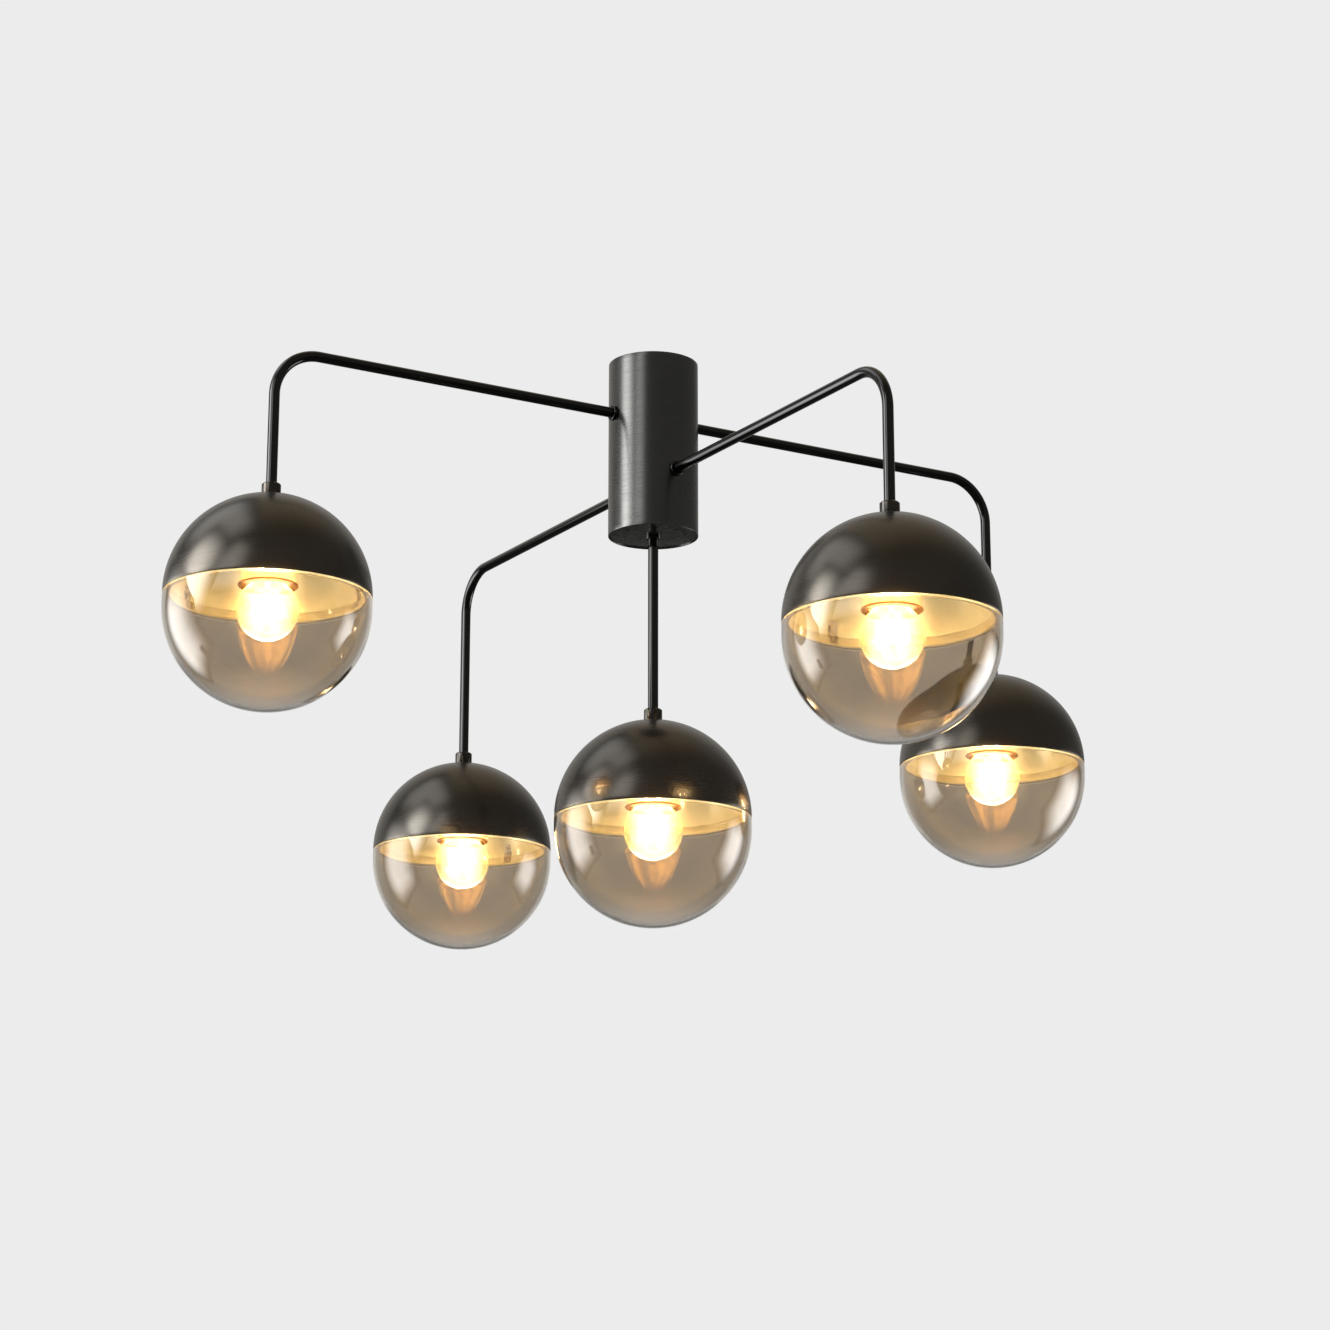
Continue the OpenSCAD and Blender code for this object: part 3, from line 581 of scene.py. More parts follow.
def cup_gold(n):
    """Brushed gold with a painted warm reflection of the bulb on its lip, and painted glare stripes that mirrors
    see.
    """
    tone, lamp = sizes("finishes").gold, sizes("lamps")
    metal(n, tone, Vector(tone) * 0.8, smooth=0.16, dull=0.22, size=0.02, spacing=(0.0012, 0.0012, 0.05),
          relief=0.000003, line_tone=0.10, wear=(1.0, 0.86, 0.55))
    own = n.own()
    height = n.axis(own)
    # Painted reflection: the lip is made deep orange and less metallic, so the filaments' light gives it the warm
    # glow of the bulb
    lip = n.soft(height, lamp.cup_low + lamp.cup_wall, lamp.cup_low + lamp.cup_wall * 2.2, 1.0, 0.0)
    plated = n.shader.inputs["Base Color"].links[0].from_socket
    # Painted glare: stripes of emission on the cup that only mirrors see, strongest near its lower edge
    stripes = n.noise(n.vectors("MULTIPLY", own, (1, 1, 0.02)), 190.0, 1.0)
    level = n.times(n.spread(height, 0.055, 0.01, 0.15, 1.0), n.spread(stripes, 0.41, 0.59, 0.5, 1.9))
    n.shade({"Base Color": n.blend(lip, plated, (0.80, 0.34, 0.07)),
             "Metallic": n.spread(lip, 0.0, 1.0, 0.985, 0.55), "Emission Strength": CUP_PAINTED_GLARE,
             "Emission Color": n.scaled(Vector((1.0, 0.46, 0.07)), n.times(level, n.mirrored()))})


def collar_metal(n):
    metal(n, Vector(sizes("finishes").tube) * 1.4, sizes("finishes").bronze, drift=0.25, smooth=0.12, dull=0.18,
          size=0.012, spacing=(0.03, 0.03, 0.0004), relief=0.000001, patch=0.02)


def moulded(n, tone, other, smooth, dull, depth, size=0.004, coat=0.0):
    """Plastic, porcelain or sheath: mottled tone, wiped gloss and a fine skin."""
    place = n.place()
    shown = use(n, tone_drift, place, {"Size": size * 3, "Tone": tone, "Other tone": other, "Amount": 0.6})
    rough = use(n, handling, place, {"Size": size * 2, "Smooth": smooth, "Dull": dull})
    edge = use(n, worn_edges, place, {"Reach": 0.08})
    n.relief(n.noise(place, 1.0 / size, 6.0, 0.7), depth)
    n.shade({"Base Color": n.blend(n.times(edge, 0.4), shown, Vector(tone) * 0.7), "Roughness": rough,
             "Coat Weight": coat})


def pale_floor(n):
    tones = {"Tone": (0.83, 0.83, 0.82), "Other tone": (0.80, 0.80, 0.79)}
    shown = use(n, tone_drift, n.place(), {"Size": 1.2, "Amount": 0.5, **tones})
    # Painted reflection: mirrors see the floor dark, like the dim room round it
    n.shade({"Base Color": n.blend(n.mirrored(), shown, (0.05, 0.05, 0.048)), "Roughness": 0.9})


def seen_glass(n, shadow_tint, glint=0.0):
    """Lets lamp light and blurred mirrored rays pass straight; a glint shows them a lit ball."""
    clear = ball = n.put("BsdfTransparent", {"Color": shadow_tint}).outputs[0]
    if glint:
        lit = n.put("Emission", {"Color": sizes("finishes").light, "Strength": glint}).outputs[0]
        ball = n.put("AddShader", {0: clear, 1: lit}).outputs[0]
    path, real = n.put("LightPath").outputs, n.shader.outputs[0]
    last = real
    for ray, shown in (("Diffuse", clear), ("Glossy", ball), ("Singular", real), ("Shadow", clear)):
        last = n.put("MixShader", {0: path[f"Is {ray} Ray"], 1: last, 2: shown}).outputs[0]
    n.feed(n.tree.nodes["Material Output"].inputs["Surface"], last)


def smoke_glass(n):
    """Blown glass with a smoke tint, a clear neck with a faint painted glow, and a paler lower pole."""
    lamp, tint = sizes("lamps"), Vector(sizes("finishes").smoke)
    own = n.own()
    height = n.axis(own)
    smoke = use(n, tone_drift, n.place(), {"Size": 0.09, "Tone": tint, "Other tone": tint * 0.94, "Amount": 0.7})
    pole = n.soft(height, -lamp.band - lamp.globe * 0.7, -lamp.band - lamp.globe, 0.0, 0.35)
    neck = n.soft(height, -lamp.gap - lamp.glass, -lamp.gap)
    n.relief(n.noise(own, 14.0, 1.0), 0.0004)
    # Painted light: the neck's faint orange glow
    n.shade({"Base Color": n.blend(n.maths("MAXIMUM", pole, neck), smoke, (1.0, 1.0, 0.99)),
             "Emission Color": n.scaled(Vector((1.0, 0.58, 0.18)), neck), "Emission Strength": NECK_PAINTED_GLOW,
             "Roughness": 0.0, "IOR": 1.6, "Transmission Weight": 1.0})
    seen_glass(n, [sqrt(c) for c in tint])


def bulb_glass(n):
    """Clear glass lit by its filaments, most where it faces the eye and least at its tip and its outline."""
    bulb, own = sizes("bulbs"), n.own()
    up = n.maths("DIVIDE", n.minus(n.axis(own), bulb.middle), bulb.radius)
    front = n.minus(1.0, n.put("LayerWeight", {"Blend": 0.5}).outputs["Facing"])
    aside = n.minus(n.minus(1.0, n.times(front, front)), n.times(n.times(up, up), 0.45))
    core = n.times(n.soft(aside, 0.35, 0.0), n.soft(up, 1.15, 0.7))
    cloud = n.noise(own, 110.0)
    level = n.times(core, n.spread(cloud, 0.3, 0.7, 0.8, 1.0))
    after_mirror = n.maths("MINIMUM", n.path("Glossy Depth"), 1.0)
    shine = n.plus(n.spread(cloud, 0.35, 0.65, 0.55, 1.3), n.times(after_mirror, 9.0))
    glow = n.blend(level, (0.14, 0.085, 0.022), sizes("finishes").light)
    n.shade({"Emission Color": n.scaled(glow, shine), "Emission Strength": BULB_SHINE,
             "Base Color": (1.0, 0.985, 0.95), "Roughness": 0.0, "IOR": 1.5, "Transmission Weight": 1.0})
    seen_glass(n, (1.0, 0.99, 0.97), BULB_IN_MIRRORS)


def stem_glass(n):
    n.shade({"Base Color": (1.0, 0.97, 0.9), "Roughness": 0.05, "Transmission Weight": 1.0})
    n.relief(n.noise(n.own(), 300.0), 0.0004)
    seen_glass(n, (1.0, 0.97, 0.9))


def filament_glow(n):
    """Lit filament: bright along its length and a little darker at its ends."""
    bulb = sizes("bulbs")
    away = n.maths("ABSOLUTE", n.minus(n.axis(n.own()), bulb.filament_middle))
    level = n.soft(away, bulb.filament_length * 0.5, bulb.filament_length * 0.38, 0.15, 1.0)
    n.shade({"Emission Color": n.blend(level, (0.25, 0.10, 0.02), sizes("finishes").light),
             "Emission Strength": FILAMENT_LIGHT, "Base Color": (0.9, 0.7, 0.25), "Roughness": 0.5})


LOOKS = {
    "Brushed gunmetal": column_metal,
    "Gloss black nickel": tube_metal,
    "Satin black nickel": cap_metal,
    "Turned black nickel": collar_metal,
    "Spun gold": cap_gold,
    "Polished gold": cup_gold,
    "Smoked glass": smoke_glass,
    "Clear bulb glass": bulb_glass,
    "Stem glass": stem_glass,
    "Lit filament": filament_glow,
    "Pale floor": pale_floor,
    "Zinc-plated strip": partial(
        metal, tone=(0.55, 0.56, 0.57), other=(0.62, 0.60, 0.50), drift=0.5, smooth=0.28, dull=0.5, size=0.008,
        relief=0.00001, wear=(0.8, 0.8, 0.78), patch=0.012),
    "Bare brass": partial(
        metal, tone=(0.80, 0.60, 0.24), other=(0.56, 0.38, 0.15), drift=0.5, smooth=0.22, dull=0.42, size=0.006,
        spacing=(0.02, 0.02, 0.0004), relief=0.000008, wear=(0.95, 0.80, 0.45), patch=0.008),
    "Spring strip": partial(
        metal, tone=(0.60, 0.61, 0.62), other=(0.42, 0.40, 0.36), drift=0.4, smooth=0.2, dull=0.34, size=0.01,
        spacing=(0.0008, 0.0008, 0.03), wear=(0.85, 0.85, 0.84), patch=0.01),
    "Nickel-plated shell": partial(
        metal, tone=(0.66, 0.63, 0.58), other=(0.45, 0.42, 0.36), drift=0.4, smooth=0.18, dull=0.34, size=0.006,
        spacing=(0.02, 0.02, 0.0004), relief=0.000005, wear=(0.88, 0.86, 0.80), patch=0.008),
    "Glazed porcelain": partial(
        moulded, tone=(0.86, 0.83, 0.76), other=(0.74, 0.69, 0.58), smooth=0.18, dull=0.32, depth=0.00004,
        coat=0.5),
    "Terminal plastic": partial(
        moulded, tone=(0.80, 0.79, 0.74), other=(0.70, 0.68, 0.60), smooth=0.35, dull=0.5, depth=0.00003),
    "Cable sheath": partial(
        moulded, tone=(0.62, 0.60, 0.55), other=(0.50, 0.47, 0.42), smooth=0.3, dull=0.45, depth=0.00003,
        size=0.002),
    "Dark stand": partial(
        moulded, tone=(0.02, 0.02, 0.02), other=(0.03, 0.03, 0.03), smooth=0.4, dull=0.5, depth=0.00005),
}
LOOKS["Lead wire"] = LOOKS["Nickel-plated shell"]
NOT_LAMPS = ("Spun gold", "Polished gold", "Clear bulb glass", "Smoked glass")
FINISHED = {}


def material(name, build=None):
    """A finish by name, made the first time it is asked for; the faint glows aren't sampled as lamps."""
    if name not in FINISHED:
        made = bpy.data.materials.new(name)
        made.use_nodes = True
        if name in NOT_LAMPS:
            made.cycles.emission_sampling = "NONE"
        n = Nodes(made.node_tree, made.node_tree.nodes["Principled BSDF"])
        (build or LOOKS[name])(n)
        n.lay_out()
        FINISHED[name] = made
    return FINISHED[name]


# ------------------------------------------------------------------ operators


def for_each_lamp(make, title, node, slot, finishes, body=None, **more):
    """Makes one piece for each lamp at the middle of its cap's rim, to stand for one of the lamp's nodes."""
    for lamp in LAMPS:
        finished(make(), f"{title}_{lamp}", f"{body}_{lamp}" if body else ROOT, slot, finishes,
                 [f"{node}_{lamp}"], Matrix.Translation(rim_centre(lamp)), **more)


class CHANDELIER_OT_column(Operator):
    """Column and the plate in its lower end"""

    bl_idname = "chandelier.column"
    bl_label = "Column"

    def execute(self, context):
        c, hole, finish = sizes("column"), tube_hole(), ["Brushed gunmetal"]
        e, outside, inside = c.edge, c.radius, c.radius - c.wall
        shell = Outline(inside + e, COLUMN_TOP).line(outside - e, COLUMN_TOP)
        shell.arc(outside - e, COLUMN_TOP - e, 90, 4)
        self.wall(shell, outside, COLUMN_TOP - e, COLUMN_FOOT + e)
        shell.arc(outside - e, COLUMN_FOOT + e, 90, 4).line(inside + e, COLUMN_FOOT)
        shell.arc(inside + e, COLUMN_FOOT + e, 90, 4)
        self.wall(shell, inside, COLUMN_FOOT + e, COLUMN_TOP - e)
        shell.arc(inside + e, COLUMN_TOP - e, 90, 4)
        finished(self.drilled(shell.spun(192)), "Column", ROOT, "column_metal", finish, ["column_shell"])
        low = COLUMN_FOOT + c.plate_inset
        high = low + c.plate_thickness
        plate = Outline(hole, high).line(c.plate_radius - e, high).arc(c.plate_radius - e, high - e, 90, 4)
        plate.line(c.plate_radius, low + e).arc(c.plate_radius - e, low + e, 90, 4).line(hole, low).close()
        finished(plate.spun(160), "Column_plate", ROOT, "column_metal", finish, ["column_base"])
        return {"FINISHED"}

    def wall(self, shell, radius, start, end, rows=40):
        """Straight wall in short rows, so that a hole's edge stays in one small face."""
        for row in range(1, rows + 1):
            shell.line(radius, start + (end - start) * row / rows)

    def drilled(self, shell):
        """Cuts the four arm holes through the shell."""
        out, drills = sizes("column").radius, bmesh.new()
        for lamp in QUARTERS:
            bmesh.ops.create_cone(drills, cap_ends=True, segments=48, radius1=tube_hole(), radius2=tube_hole(),
                                  depth=out, matrix=on_arm(lamp, out) @ ALONG_X)
        blank, cutter = linked(shell, "blank"), linked(drills, "cutter")
        cut = blank.modifiers.new("Holes", "BOOLEAN")
        cut.object, cut.operation, cut.solver = cutter, "DIFFERENCE", "EXACT"
        bpy.context.view_layer.update()
        drilled = bmesh.new()
        drilled.from_object(blank, bpy.context.evaluated_depsgraph_get())
        for scratch in (blank, cutter):
            bpy.data.meshes.remove(scratch.data)
        bmesh.ops.remove_doubles(drilled, verts=drilled.verts[:], dist=1e-6)
        return drilled


class CHANDELIER_OT_rings(Operator):
    """Rings round the tubes where they leave the column"""

    bl_idname = "chandelier.rings"
    bl_label = "Rings"

    def execute(self, context):
        c, hole, parts = sizes("column"), tube_hole(), bmesh.new()
        e, outer, top = c.ring_edge, c.ring_radius, c.ring_height
        sunk = sqrt(c.radius**2 - outer**2) - c.radius - RING_SINK
        under = Matrix.Translation((0, 0, COLUMN_FOOT + c.plate_inset)) @ Matrix.Rotation(pi, 4, "X")
        for foot, place in [(0.0, under)] + [(sunk, on_arm(lamp, c.radius) @ ALONG_X) for lamp in QUARTERS]:
            ring = Outline(hole, foot).line(outer, foot).line(outer, top - e).arc(outer - e, top - e, -90, 6)
            made = ring.line(hole + e / 2, top).arc(hole + e / 2, top - e / 2, -90, 4).close().spun(64)
            bmesh.ops.transform(made, matrix=place, verts=made.verts[:])
            scratch = bpy.data.meshes.new("ring")
            made.to_mesh(scratch)
            made.free()
            parts.from_mesh(scratch)
            bpy.data.meshes.remove(scratch)
        finished(parts, "Hole_rings", ROOT, "black_tube", ["Gloss black nickel"], ["hole_rings"])
        return {"FINISHED"}


class CHANDELIER_OT_tubes(Operator):
    """Four bent arms and the centre rod"""

    bl_idname = "chandelier.tubes"
    bl_label = "Tubes"

    def execute(self, context):
        arm, finish = sizes("arms"), ["Gloss black nickel"]
        run = arm.reach - arm.bend - arm.start
        for lamp in QUARTERS:
            drop = arm_height(lamp) - arm.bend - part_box("arm_" + lamp)[0].z
            tube = bent_tube(run, arm.bend, drop, arm.tube_radius, arm.bore_radius)
            finished(tube, "Arm_" + lamp, ROOT, "black_tube", finish, ["arm_" + lamp], on_arm(lamp, arm.start))
        low, high = (corner.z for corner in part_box("centre_rod"))
        rod = Outline(arm.tube_radius, low).line(arm.tube_radius, (low + high) / 2).line(arm.tube_radius, high)
        rod.line(arm.bore_radius, high).line(arm.bore_radius, low).close()
        finished(rod.spun(32), "Centre_rod", ROOT, "black_tube", finish, ["centre_rod"])
        return {"FINISHED"}


class CHANDELIER_OT_collars(Operator):
    """Collar between each tube and its cap"""

    bl_idname = "chandelier.collars"
    bl_label = "Collars"

    def execute(self, context):
        lamp, hole, low = sizes("lamps"), tube_hole(), cap_top()
        high, edge, r = low + lamp.collar_height, lamp.collar_edge, lamp.collar

        def make():
            collar = Outline(hole, low).line(r - edge / 3, low).arc(r - edge / 3, low + edge / 3, -90, 3)
            collar.line(r, high - edge).line(r - edge, high).line(hole + edge / 4, high)
            return collar.arc(hole + edge / 4, high - edge / 4, -90, 3).close().spun(64)

        for_each_lamp(make, "Collar", "collar", "collar_metal", ["Turned black nickel"], crease=25)
        return {"FINISHED"}


class CHANDELIER_OT_caps(Operator):
    """Spun caps: satin outside, gold inside, with a rolled rim"""

    bl_idname = "chandelier.caps"
    bl_label = "Caps"

    def execute(self, context):
        lamp, hole, top, edge = sizes("lamps"), tube_hole(), cap_top(), RIM_EDGE
        globe, wall, flat, hem = lamp.globe, lamp.cap_wall, lamp.flat, lamp.hem
        inside, under = globe - wall, top - wall
        flat_inside = sqrt(inside**2 - under**2)
        hem_top = sqrt(hem**2 - (globe - hem - inside) ** 2)

        def make():
            cap = Outline(hole, top).line(flat, top)
            cap.arc(0, 0, 90 - degrees(asin(flat / globe)) - degrees(edge / globe), 44)
            cap.line(globe, edge).arc(globe - edge, edge, 90, 4).line(globe - hem, 0)
            cap.arc(globe - hem, hem, 90 + degrees(asin(hem_top / hem)), 10)
            turn = atan2(cap.last.co.z, cap.last.co.x) - atan2(under, flat_inside)
            return cap.arc(0, 0, degrees(turn), 44).line(flat_inside, under).line(hole, under).close().spun(144)

        def gold_side(face):
            middle = face.calc_center_median()
            return int(middle.length < globe - wall / 2 and middle.z < top - wall / 2)

        for_each_lamp(make, "Cap", "cap", "cap_metal", ["Satin black nickel", "Spun gold"], pick=gold_side)
        return {"FINISHED"}


class CHANDELIER_OT_cups(Operator):
    """Gold cups round the lamp holders, with a bead and a turned-in lip at the lower edge"""

    bl_idname = "chandelier.cups"
    bl_label = "Cups"

    def execute(self, context):
        lamp, hole = sizes("lamps"), tube_hole()
        r, wall, rounding, low, high = lamp.cup, lamp.cup_wall, lamp.cup_round, lamp.cup_low, lamp.cup_high
        lip = lamp.cup_lip + wall / 2

        def make():
            cup = Outline(hole, high).line(r - rounding, high).arc(r - rounding, high - rounding, 90, 8)
            cup.line(r, low + wall * 2).arc(r, low + wall, 180, 12).line(lip, low).arc(lip, low + wall / 2, 180, 6)
            cup.line(r - wall, low + wall).line(r - wall, high - rounding)
            return cup.arc(r - rounding, high - rounding, -90, 8).line(hole, high - wall).close().spun(96)

        for_each_lamp(make, "Cup", "cup", "gold_cup", ["Polished gold"])
        return {"FINISHED"}


class CHANDELIER_OT_bowls(Operator):
    """Smoked glass bowls with a band, a shoulder and a neck inside the cap"""

    bl_idname = "chandelier.bowls"
    bl_label = "Glass bowls"

    def execute(self, context):
        lamp = sizes("lamps")
        out, wall, low, rounding, top = lamp.globe, lamp.glass, -lamp.band, lamp.shoulder, -lamp.gap
        inn, neck, lip, under = out - wall, out - lamp.neck_inset, lamp.neck - wall / 2, top - lamp.web

        def make():
            bowl = Outline(0, low - out).arc(0, low, -90, 56).line(out, top - rounding)
            bowl.arc(out - rounding, top - rounding, -90, 6).line(neck, top).line(neck, lip)
            bowl.arc(neck - wall / 2, lip, -180, 12).line(neck - wall, under).line(inn - rounding, under)
            bowl.arc(inn - rounding, under - rounding, 90, 6).line(inn, low)
            return bowl.arc(0, low, 90, 56).spun(160)

        for_each_lamp(make, "Bowl", "shade", "smoke_glass", ["Smoked glass"], "glass", crease=50)
        return {"FINISHED"}


class CHANDELIER_OT_bulbs(Operator):
    """Clear globe bulbs"""

    bl_idname = "chandelier.bulbs"
    bl_label = "Bulbs"

    def execute(self, context):
        bulb = sizes("bulbs")
        flare, inner = bulb.neck + bulb.fillet, bulb.neck - bulb.wall
        lift = sqrt((bulb.radius + bulb.fillet) ** 2 - flare**2)
        waist, high = degrees(atan2(flare, lift)), bulb.middle + lift

        def make():
            glass = Outline(0, bulb.middle - bulb.radius).arc(0, bulb.middle, waist - 180, 40)
            glass.arc(flare, high, 90 - waist, 8).line(bulb.neck, bulb.base).line(inner, bulb.base)
            glass.line(inner, high).arc(flare, high, waist - 90, 8)
            return glass.arc(0, bulb.middle, 180 - waist, 40).spun(112)

        for_each_lamp(make, "Bulb", "bulb", "bulb_glass", ["Clear bulb glass"], "lamp")
        return {"FINISHED"}


class CHANDELIER_OT_filaments(Operator):
    """Glass stem, lead wires and four lit filaments in each bulb"""

    bl_idname = "chandelier.filaments"
    bl_label = "Filaments"

    def execute(self, context):
        bulb = sizes("bulbs")
        stem, low, high = bulb.stem, bulb.filament_middle, bulb.base

        def make():
            foot = Outline(0, low).line(stem * 0.6, low).line(stem, low + 0.001).line(stem, high - 0.006)
            foot.line(stem * 1.3, high - 0.003).line(bulb.neck - 0.003, high).line(0, high)
            parts = foot.spun(32)
            for turn in range(4):
                at = Matrix.Rotation(pi / 4 + turn * pi / 2, 4, "Z")
                upright = at @ Matrix.Translation((bulb.ring, 0, low))
                level = at @ (Matrix.Translation((bulb.ring / 2, 0, low + 0.001)) @ ALONG_X)
                self.rod(parts, bulb.filament, bulb.filament_length, upright, 1)
                self.rod(parts, bulb.wire, bulb.ring, level, 2)
            return parts

        finishes = ["Stem glass", "Lit filament", "Lead wire"]
        for_each_lamp(make, "Filaments", "filament", "filament_glow", finishes, "lamp")
        return {"FINISHED"}

    def rod(self, parts, radius, tall, place, slot):
        """Rod with rounded ends."""
        old = set(parts.faces)
        made = bmesh.ops.create_cone(parts, cap_ends=True, segments=16, radius1=radius, radius2=radius, depth=tall,
                                     matrix=place)
        edges = {e for v in made["verts"] for e in v.link_edges if any(len(f.verts) > 4 for f in e.link_faces)}
        bmesh.ops.bevel(parts, geom=list(edges), offset=radius * 0.7, offset_type="OFFSET", segments=3,
                        profile=0.5, affect="EDGES", material=-1)
        for face in parts.faces:
            if face not in old:
                face.material_index = slot


class CHANDELIER_OT_fittings(Operator):
    """Finishes of the strap, screws, terminals, cables, nuts, holders, contacts, clips and bulb bases"""

    bl_idname = "chandelier.fittings"
    bl_label = "Fittings"

    def execute(self, context):
        fittings = {
            "Zinc-plated strip": ["ceiling_strap", "lock_nuts", "cap_nuts"],
            "Gloss black nickel": ["side_screws"],
            "Bare brass": ["earth_screw", "terminal_screws", "screw_shells", "centre_contacts"],
            "Terminal plastic": ["terminal_block"],
            "Cable sheath": ["lamp_cables"],
            "Spring strip": ["shade_clips"],
            "Glazed porcelain": ["holder_" + lamp for lamp in LAMPS],
            "Nickel-plated shell": ["bulb_base_" + lamp for lamp in LAMPS],
        }
        for finish, nodes in fittings.items():
            for node in nodes:
                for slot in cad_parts[node].material_slots:
                    slot.material = material(finish)
        return {"FINISHED"}


CAMERA_PLACE = (-0.01357, -2.2798, -0.8191)  # from the fit of the camera to the photo
SENSOR = 36.0  # mm
STAND_TOP = (-0.95, -0.14, -0.66)
STAND_PARTS = ((0.016, 0.9), (0.045, 0.14))  # lower radius and length of the pole and of its clamp
PANEL_COLOUR = (0.97, 0.985, 1.0)

# Level in the studio's sizes, bearing and rise in degrees, distance, width and height, then where the even middle
# starts and ends across and up the panel, and its roll in degrees
SOFTBOXES = {
    "Key_softbox": ("key", -72, 17.5, 1.45, (1.05, 1.5), (-0.16, 0.04, -0.16, -0.04), -20),
    "Side_softbox": ("side", -98.5, -7.0, 1.34, (1.3, 1.5), (-0.12, 0.06, -0.22, 0.08), 0),
    "Low_softbox": ("low", 111, -15, 1.24, (1.0, 1.0), (-0.1, 0.1, -0.1, 0.1), 0),
    "Fill_panel": ("fill", -50, 24, 2.7, (3.1, 2.1), (-0.22, 0.22, -0.22, 0.22), 0),
    "Ceiling_panel": ("top", -85, 52, 2.2, (3.0, 1.9), (-0.2, 0.2, -0.2, 0.2), 0),
}

# Reach, strength and tint of the two blooms in the lens
BLOOMS = ((0.012, 0.05, (1.0, 1.0, 1.0, 1.0)), (0.05, 0.06, (1.0, 0.72, 0.38, 1.0)))


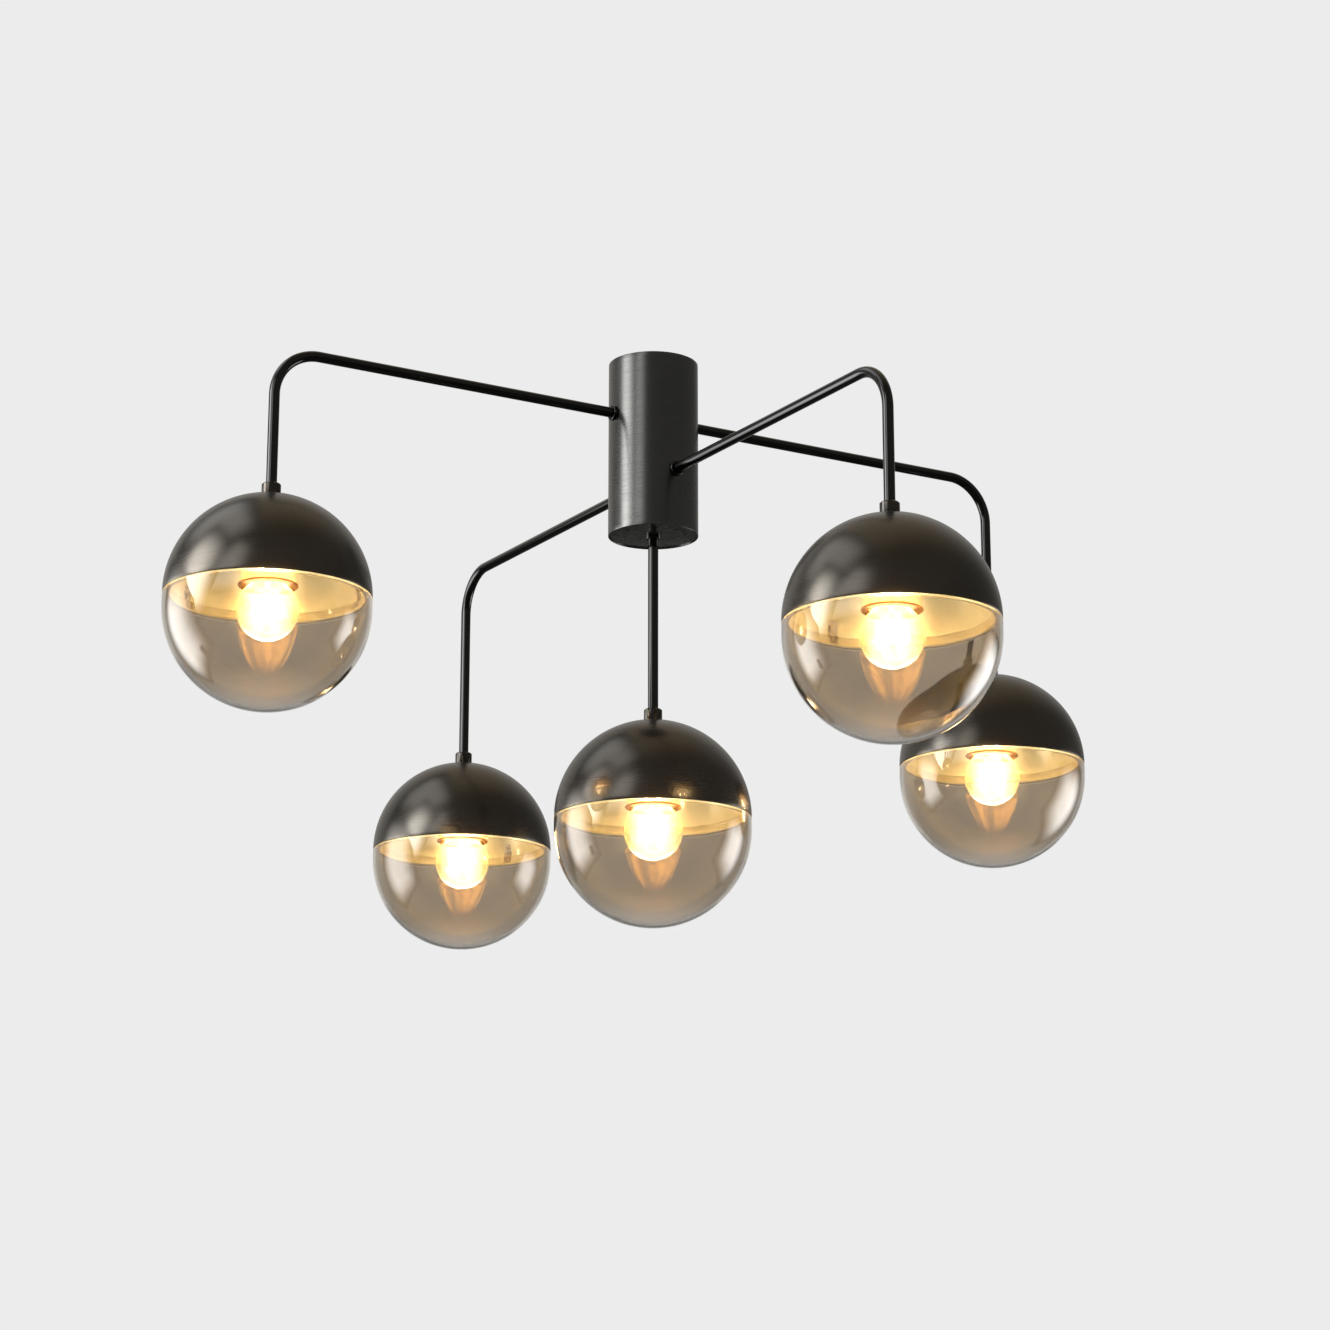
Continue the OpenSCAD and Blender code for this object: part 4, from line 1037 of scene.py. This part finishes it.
class CHANDELIER_OT_stage(Operator):
    """Camera, pale floor, softboxes, backdrop and the bloom of the bulbs"""

    bl_idname = "chandelier.stage"
    bl_label = "Studio"

    def execute(self, context):
        scene, studio = context.scene, sizes("studio")
        lens = bpy.data.cameras.new("Camera")
        lens.sensor_width, lens.lens = SENSOR, studio.focal
        camera = bpy.data.objects.new("Camera", lens)
        camera.location = CAMERA_PLACE
        camera.rotation_euler = (pi / 2 + studio.pitch, 0, studio.yaw)
        scene.collection.objects.link(camera)
        scene.camera = camera
        self.floor(studio)
        for name, (level, *placed) in SOFTBOXES.items():
            self.softbox(name, getattr(studio, level), *placed)
        self.stand()
        self.overhead(scene)
        self.backdrop(scene, studio)
        self.bloom(scene)
        scene.view_settings.view_transform = "Standard"
        scene.view_settings.look = "None"
        scene.cycles.max_bounces = 16
        scene.cycles.transmission_bounces = 14
        scene.cycles.glossy_bounces = 6
        scene.cycles.transparent_max_bounces = 24
        return {"FINISHED"}

    def floor(self, studio):
        mesh = bmesh.new()
        bmesh.ops.create_circle(mesh, cap_ends=True, cap_tris=False, segments=128, radius=studio.floor_radius,
                                matrix=Matrix.Translation((0, 0, -studio.floor)))
        floor = linked(mesh, "Floor")
        floor.data.materials.append(material("Pale floor"))
        floor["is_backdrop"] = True

    def stand(self):
        """Dark light stand in front of the side softbox, seen only in reflections."""
        mesh, (x, y, top) = bmesh.new(), STAND_TOP
        for radius, tall in STAND_PARTS:
            lean = Matrix.Translation((x, y, top - tall / 2)) @ Matrix.Rotation(radians(7), 4, "X")
            bmesh.ops.create_cone(mesh, cap_ends=True, segments=24, radius1=radius, radius2=radius * 0.7,
                                  depth=tall, matrix=lean)
        stand = linked(mesh, "Light_stand")
        stand.visible_camera = stand.visible_shadow = stand.visible_diffuse = False
        stand.data.materials.append(material("Dark stand"))
        stand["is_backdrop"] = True

    def overhead(self, scene):
        """Weak round light over the object, which mirrors don't show."""
        lamp = bpy.data.lights.new("Overhead", "AREA")
        lamp.shape, lamp.size, lamp.energy = "DISK", 3.0, 12.0
        overhead = bpy.data.objects.new("Overhead", lamp)
        overhead.location = (0, 0, 1.6)
        overhead.visible_glossy = False
        scene.collection.objects.link(overhead)

    def softbox(self, name, strength, bearing, rise, away, size, even, roll):
        """Panel that fades from its even middle to its sides, and isn't seen straight or through glass."""
        mesh = bmesh.new()
        bmesh.ops.create_grid(mesh, x_segments=1, y_segments=1, size=0.5)
        panel = linked(mesh, name)
        spot = Euler((radians(-rise), 0, radians(bearing))).to_matrix() @ Vector((0, -away, 0))
        facing = (-spot).to_track_quat("-Z", "Y") @ Euler((0, 0, radians(roll))).to_quaternion()
        panel.location = Vector((0, 0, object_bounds()[0].z / 2)) + spot
        panel.rotation_euler = facing.to_euler()
        panel.scale = (*size, 1)
        panel.visible_camera = panel.visible_shadow = False

        def glow(n):
            place, level = n.put("SeparateXYZ", {0: n.place()}).outputs, strength
            for axis, edge, start in zip("XXYY", (-0.5, 0.5, -0.5, 0.5), even):
                level = n.times(level, n.soft(place[axis], edge, start))
            light = n.put("Emission", {"Color": PANEL_COLOUR, "Strength": level}).outputs[0]
            straight = n.minus(n.path("Is Transmission Ray"), n.path("Glossy Depth"), clamp=True)
            mix = n.put("MixShader", {0: straight, 1: light, 2: n.put("BsdfTransparent").outputs[0]}).outputs[0]
            n.feed(n.tree.nodes["Material Output"].inputs["Surface"], mix)
            n.tree.nodes.remove(n.shader)

        panel.data.materials.append(material(name, glow))
        panel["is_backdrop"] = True

    def backdrop(self, scene, studio):
        """Pale backdrop for the camera and through glass, an even glow on matt surfaces, a dim room in mirrors."""
        world = bpy.data.worlds.new("Studio")
        world.use_nodes = True
        n = Nodes(world.node_tree)
        plain = n.tree.nodes["Background"]
        n.feed(plain.inputs["Color"], (studio.backdrop,) * 3)
        look = n.put("TexCoord").outputs["Generated"]
        up = n.axis(look)
        rear = n.vectors("DOT_PRODUCT", look, (-0.35, 0.55, 0.75), "Value")
        level = n.plus(n.soft(up, -0.3, 0.15, studio.room * 0.12, studio.room),
                       n.soft(rear, 0.3, 0.9, 0.0, studio.rear))
        behind = n.vectors("DOT_PRODUCT", look, (0.0, 1.0, 0.1), "Value")
        level = n.plus(level, n.times(n.path("Is Singular Ray"), n.spread(behind, 0.82, 1.0, 0.0, 0.4)))
        warm = n.blend(n.soft(up, 0.6, 0.95), (1.0, 0.97, 0.92), (1.0, 0.84, 0.62))
        room = n.put("Background", {"Color": warm, "Strength": level}).outputs[0]
        mix = n.put("MixShader", {0: n.mirrored(), 1: plain.outputs[0], 2: room}).outputs[0]
        n.feed(n.tree.nodes["World Output"].inputs["Surface"], mix)
        n.lay_out()
        scene.world = world

    def bloom(self, scene):
        """The soft bloom that a bright bulb leaves in a lens."""
        scene.use_nodes = True
        tree = scene.node_tree
        tree.nodes.clear()
        last = tree.nodes.new("CompositorNodeRLayers").outputs["Image"]
        for reach, strength, tint in BLOOMS:
            glare = tree.nodes.new("CompositorNodeGlare")
            glare.glare_type, glare.quality = "BLOOM", "HIGH"
            for name, value in (("Threshold", 1.5), ("Strength", strength), ("Size", reach), ("Maximum", 80.0),
                                ("Tint", tint)):
                glare.inputs[name].default_value = value
            tree.links.new(last, glare.inputs["Image"])
            last = glare.outputs[0]
        tree.links.new(last, tree.nodes.new("CompositorNodeComposite").inputs["Image"])


STEPS = (CHANDELIER_OT_column, CHANDELIER_OT_rings, CHANDELIER_OT_tubes, CHANDELIER_OT_collars,
         CHANDELIER_OT_caps, CHANDELIER_OT_cups, CHANDELIER_OT_bowls, CHANDELIER_OT_bulbs,
         CHANDELIER_OT_filaments, CHANDELIER_OT_fittings, CHANDELIER_OT_stage)
GROUPS = {"column": ColumnSizes, "arms": ArmSizes, "lamps": LampSizes, "bulbs": BulbSizes, "finishes": Finishes,
          "studio": StudioSizes}


class CHANDELIER_PT_pieces(Panel):
    """Lists the pieces and the studio in the 3D view's sidebar"""

    bl_label = "Branch chandelier"
    bl_idname = "CHANDELIER_PT_pieces"
    bl_space_type = "VIEW_3D"
    bl_region_type = "UI"
    bl_category = "Chandelier"

    def draw(self, context):
        layout = self.layout
        for step in STEPS:
            layout.operator(step.bl_idname)
        for name, group in GROUPS.items():
            box = layout.box()
            box.label(text=name.capitalize())
            for value in group.__annotations__:
                box.prop(sizes(name), value)


def register():
    for group in GROUPS.values():
        bpy.utils.register_class(group)
    for name, group in GROUPS.items():
        setattr(bpy.types.Scene, "chandelier_" + name, PointerProperty(type=group))
    for step in (*STEPS, CHANDELIER_PT_pieces):
        bpy.utils.register_class(step)


def unregister():
    for step in reversed((*STEPS, CHANDELIER_PT_pieces)):
        bpy.utils.unregister_class(step)
    for name, group in reversed(GROUPS.items()):
        delattr(bpy.types.Scene, "chandelier_" + name)
        bpy.utils.unregister_class(group)


def main():
    register()
    for step in STEPS:
        family, name = step.bl_idname.split(".")
        getattr(getattr(bpy.ops, family), name)()


if __name__ == "__main__":
    main()
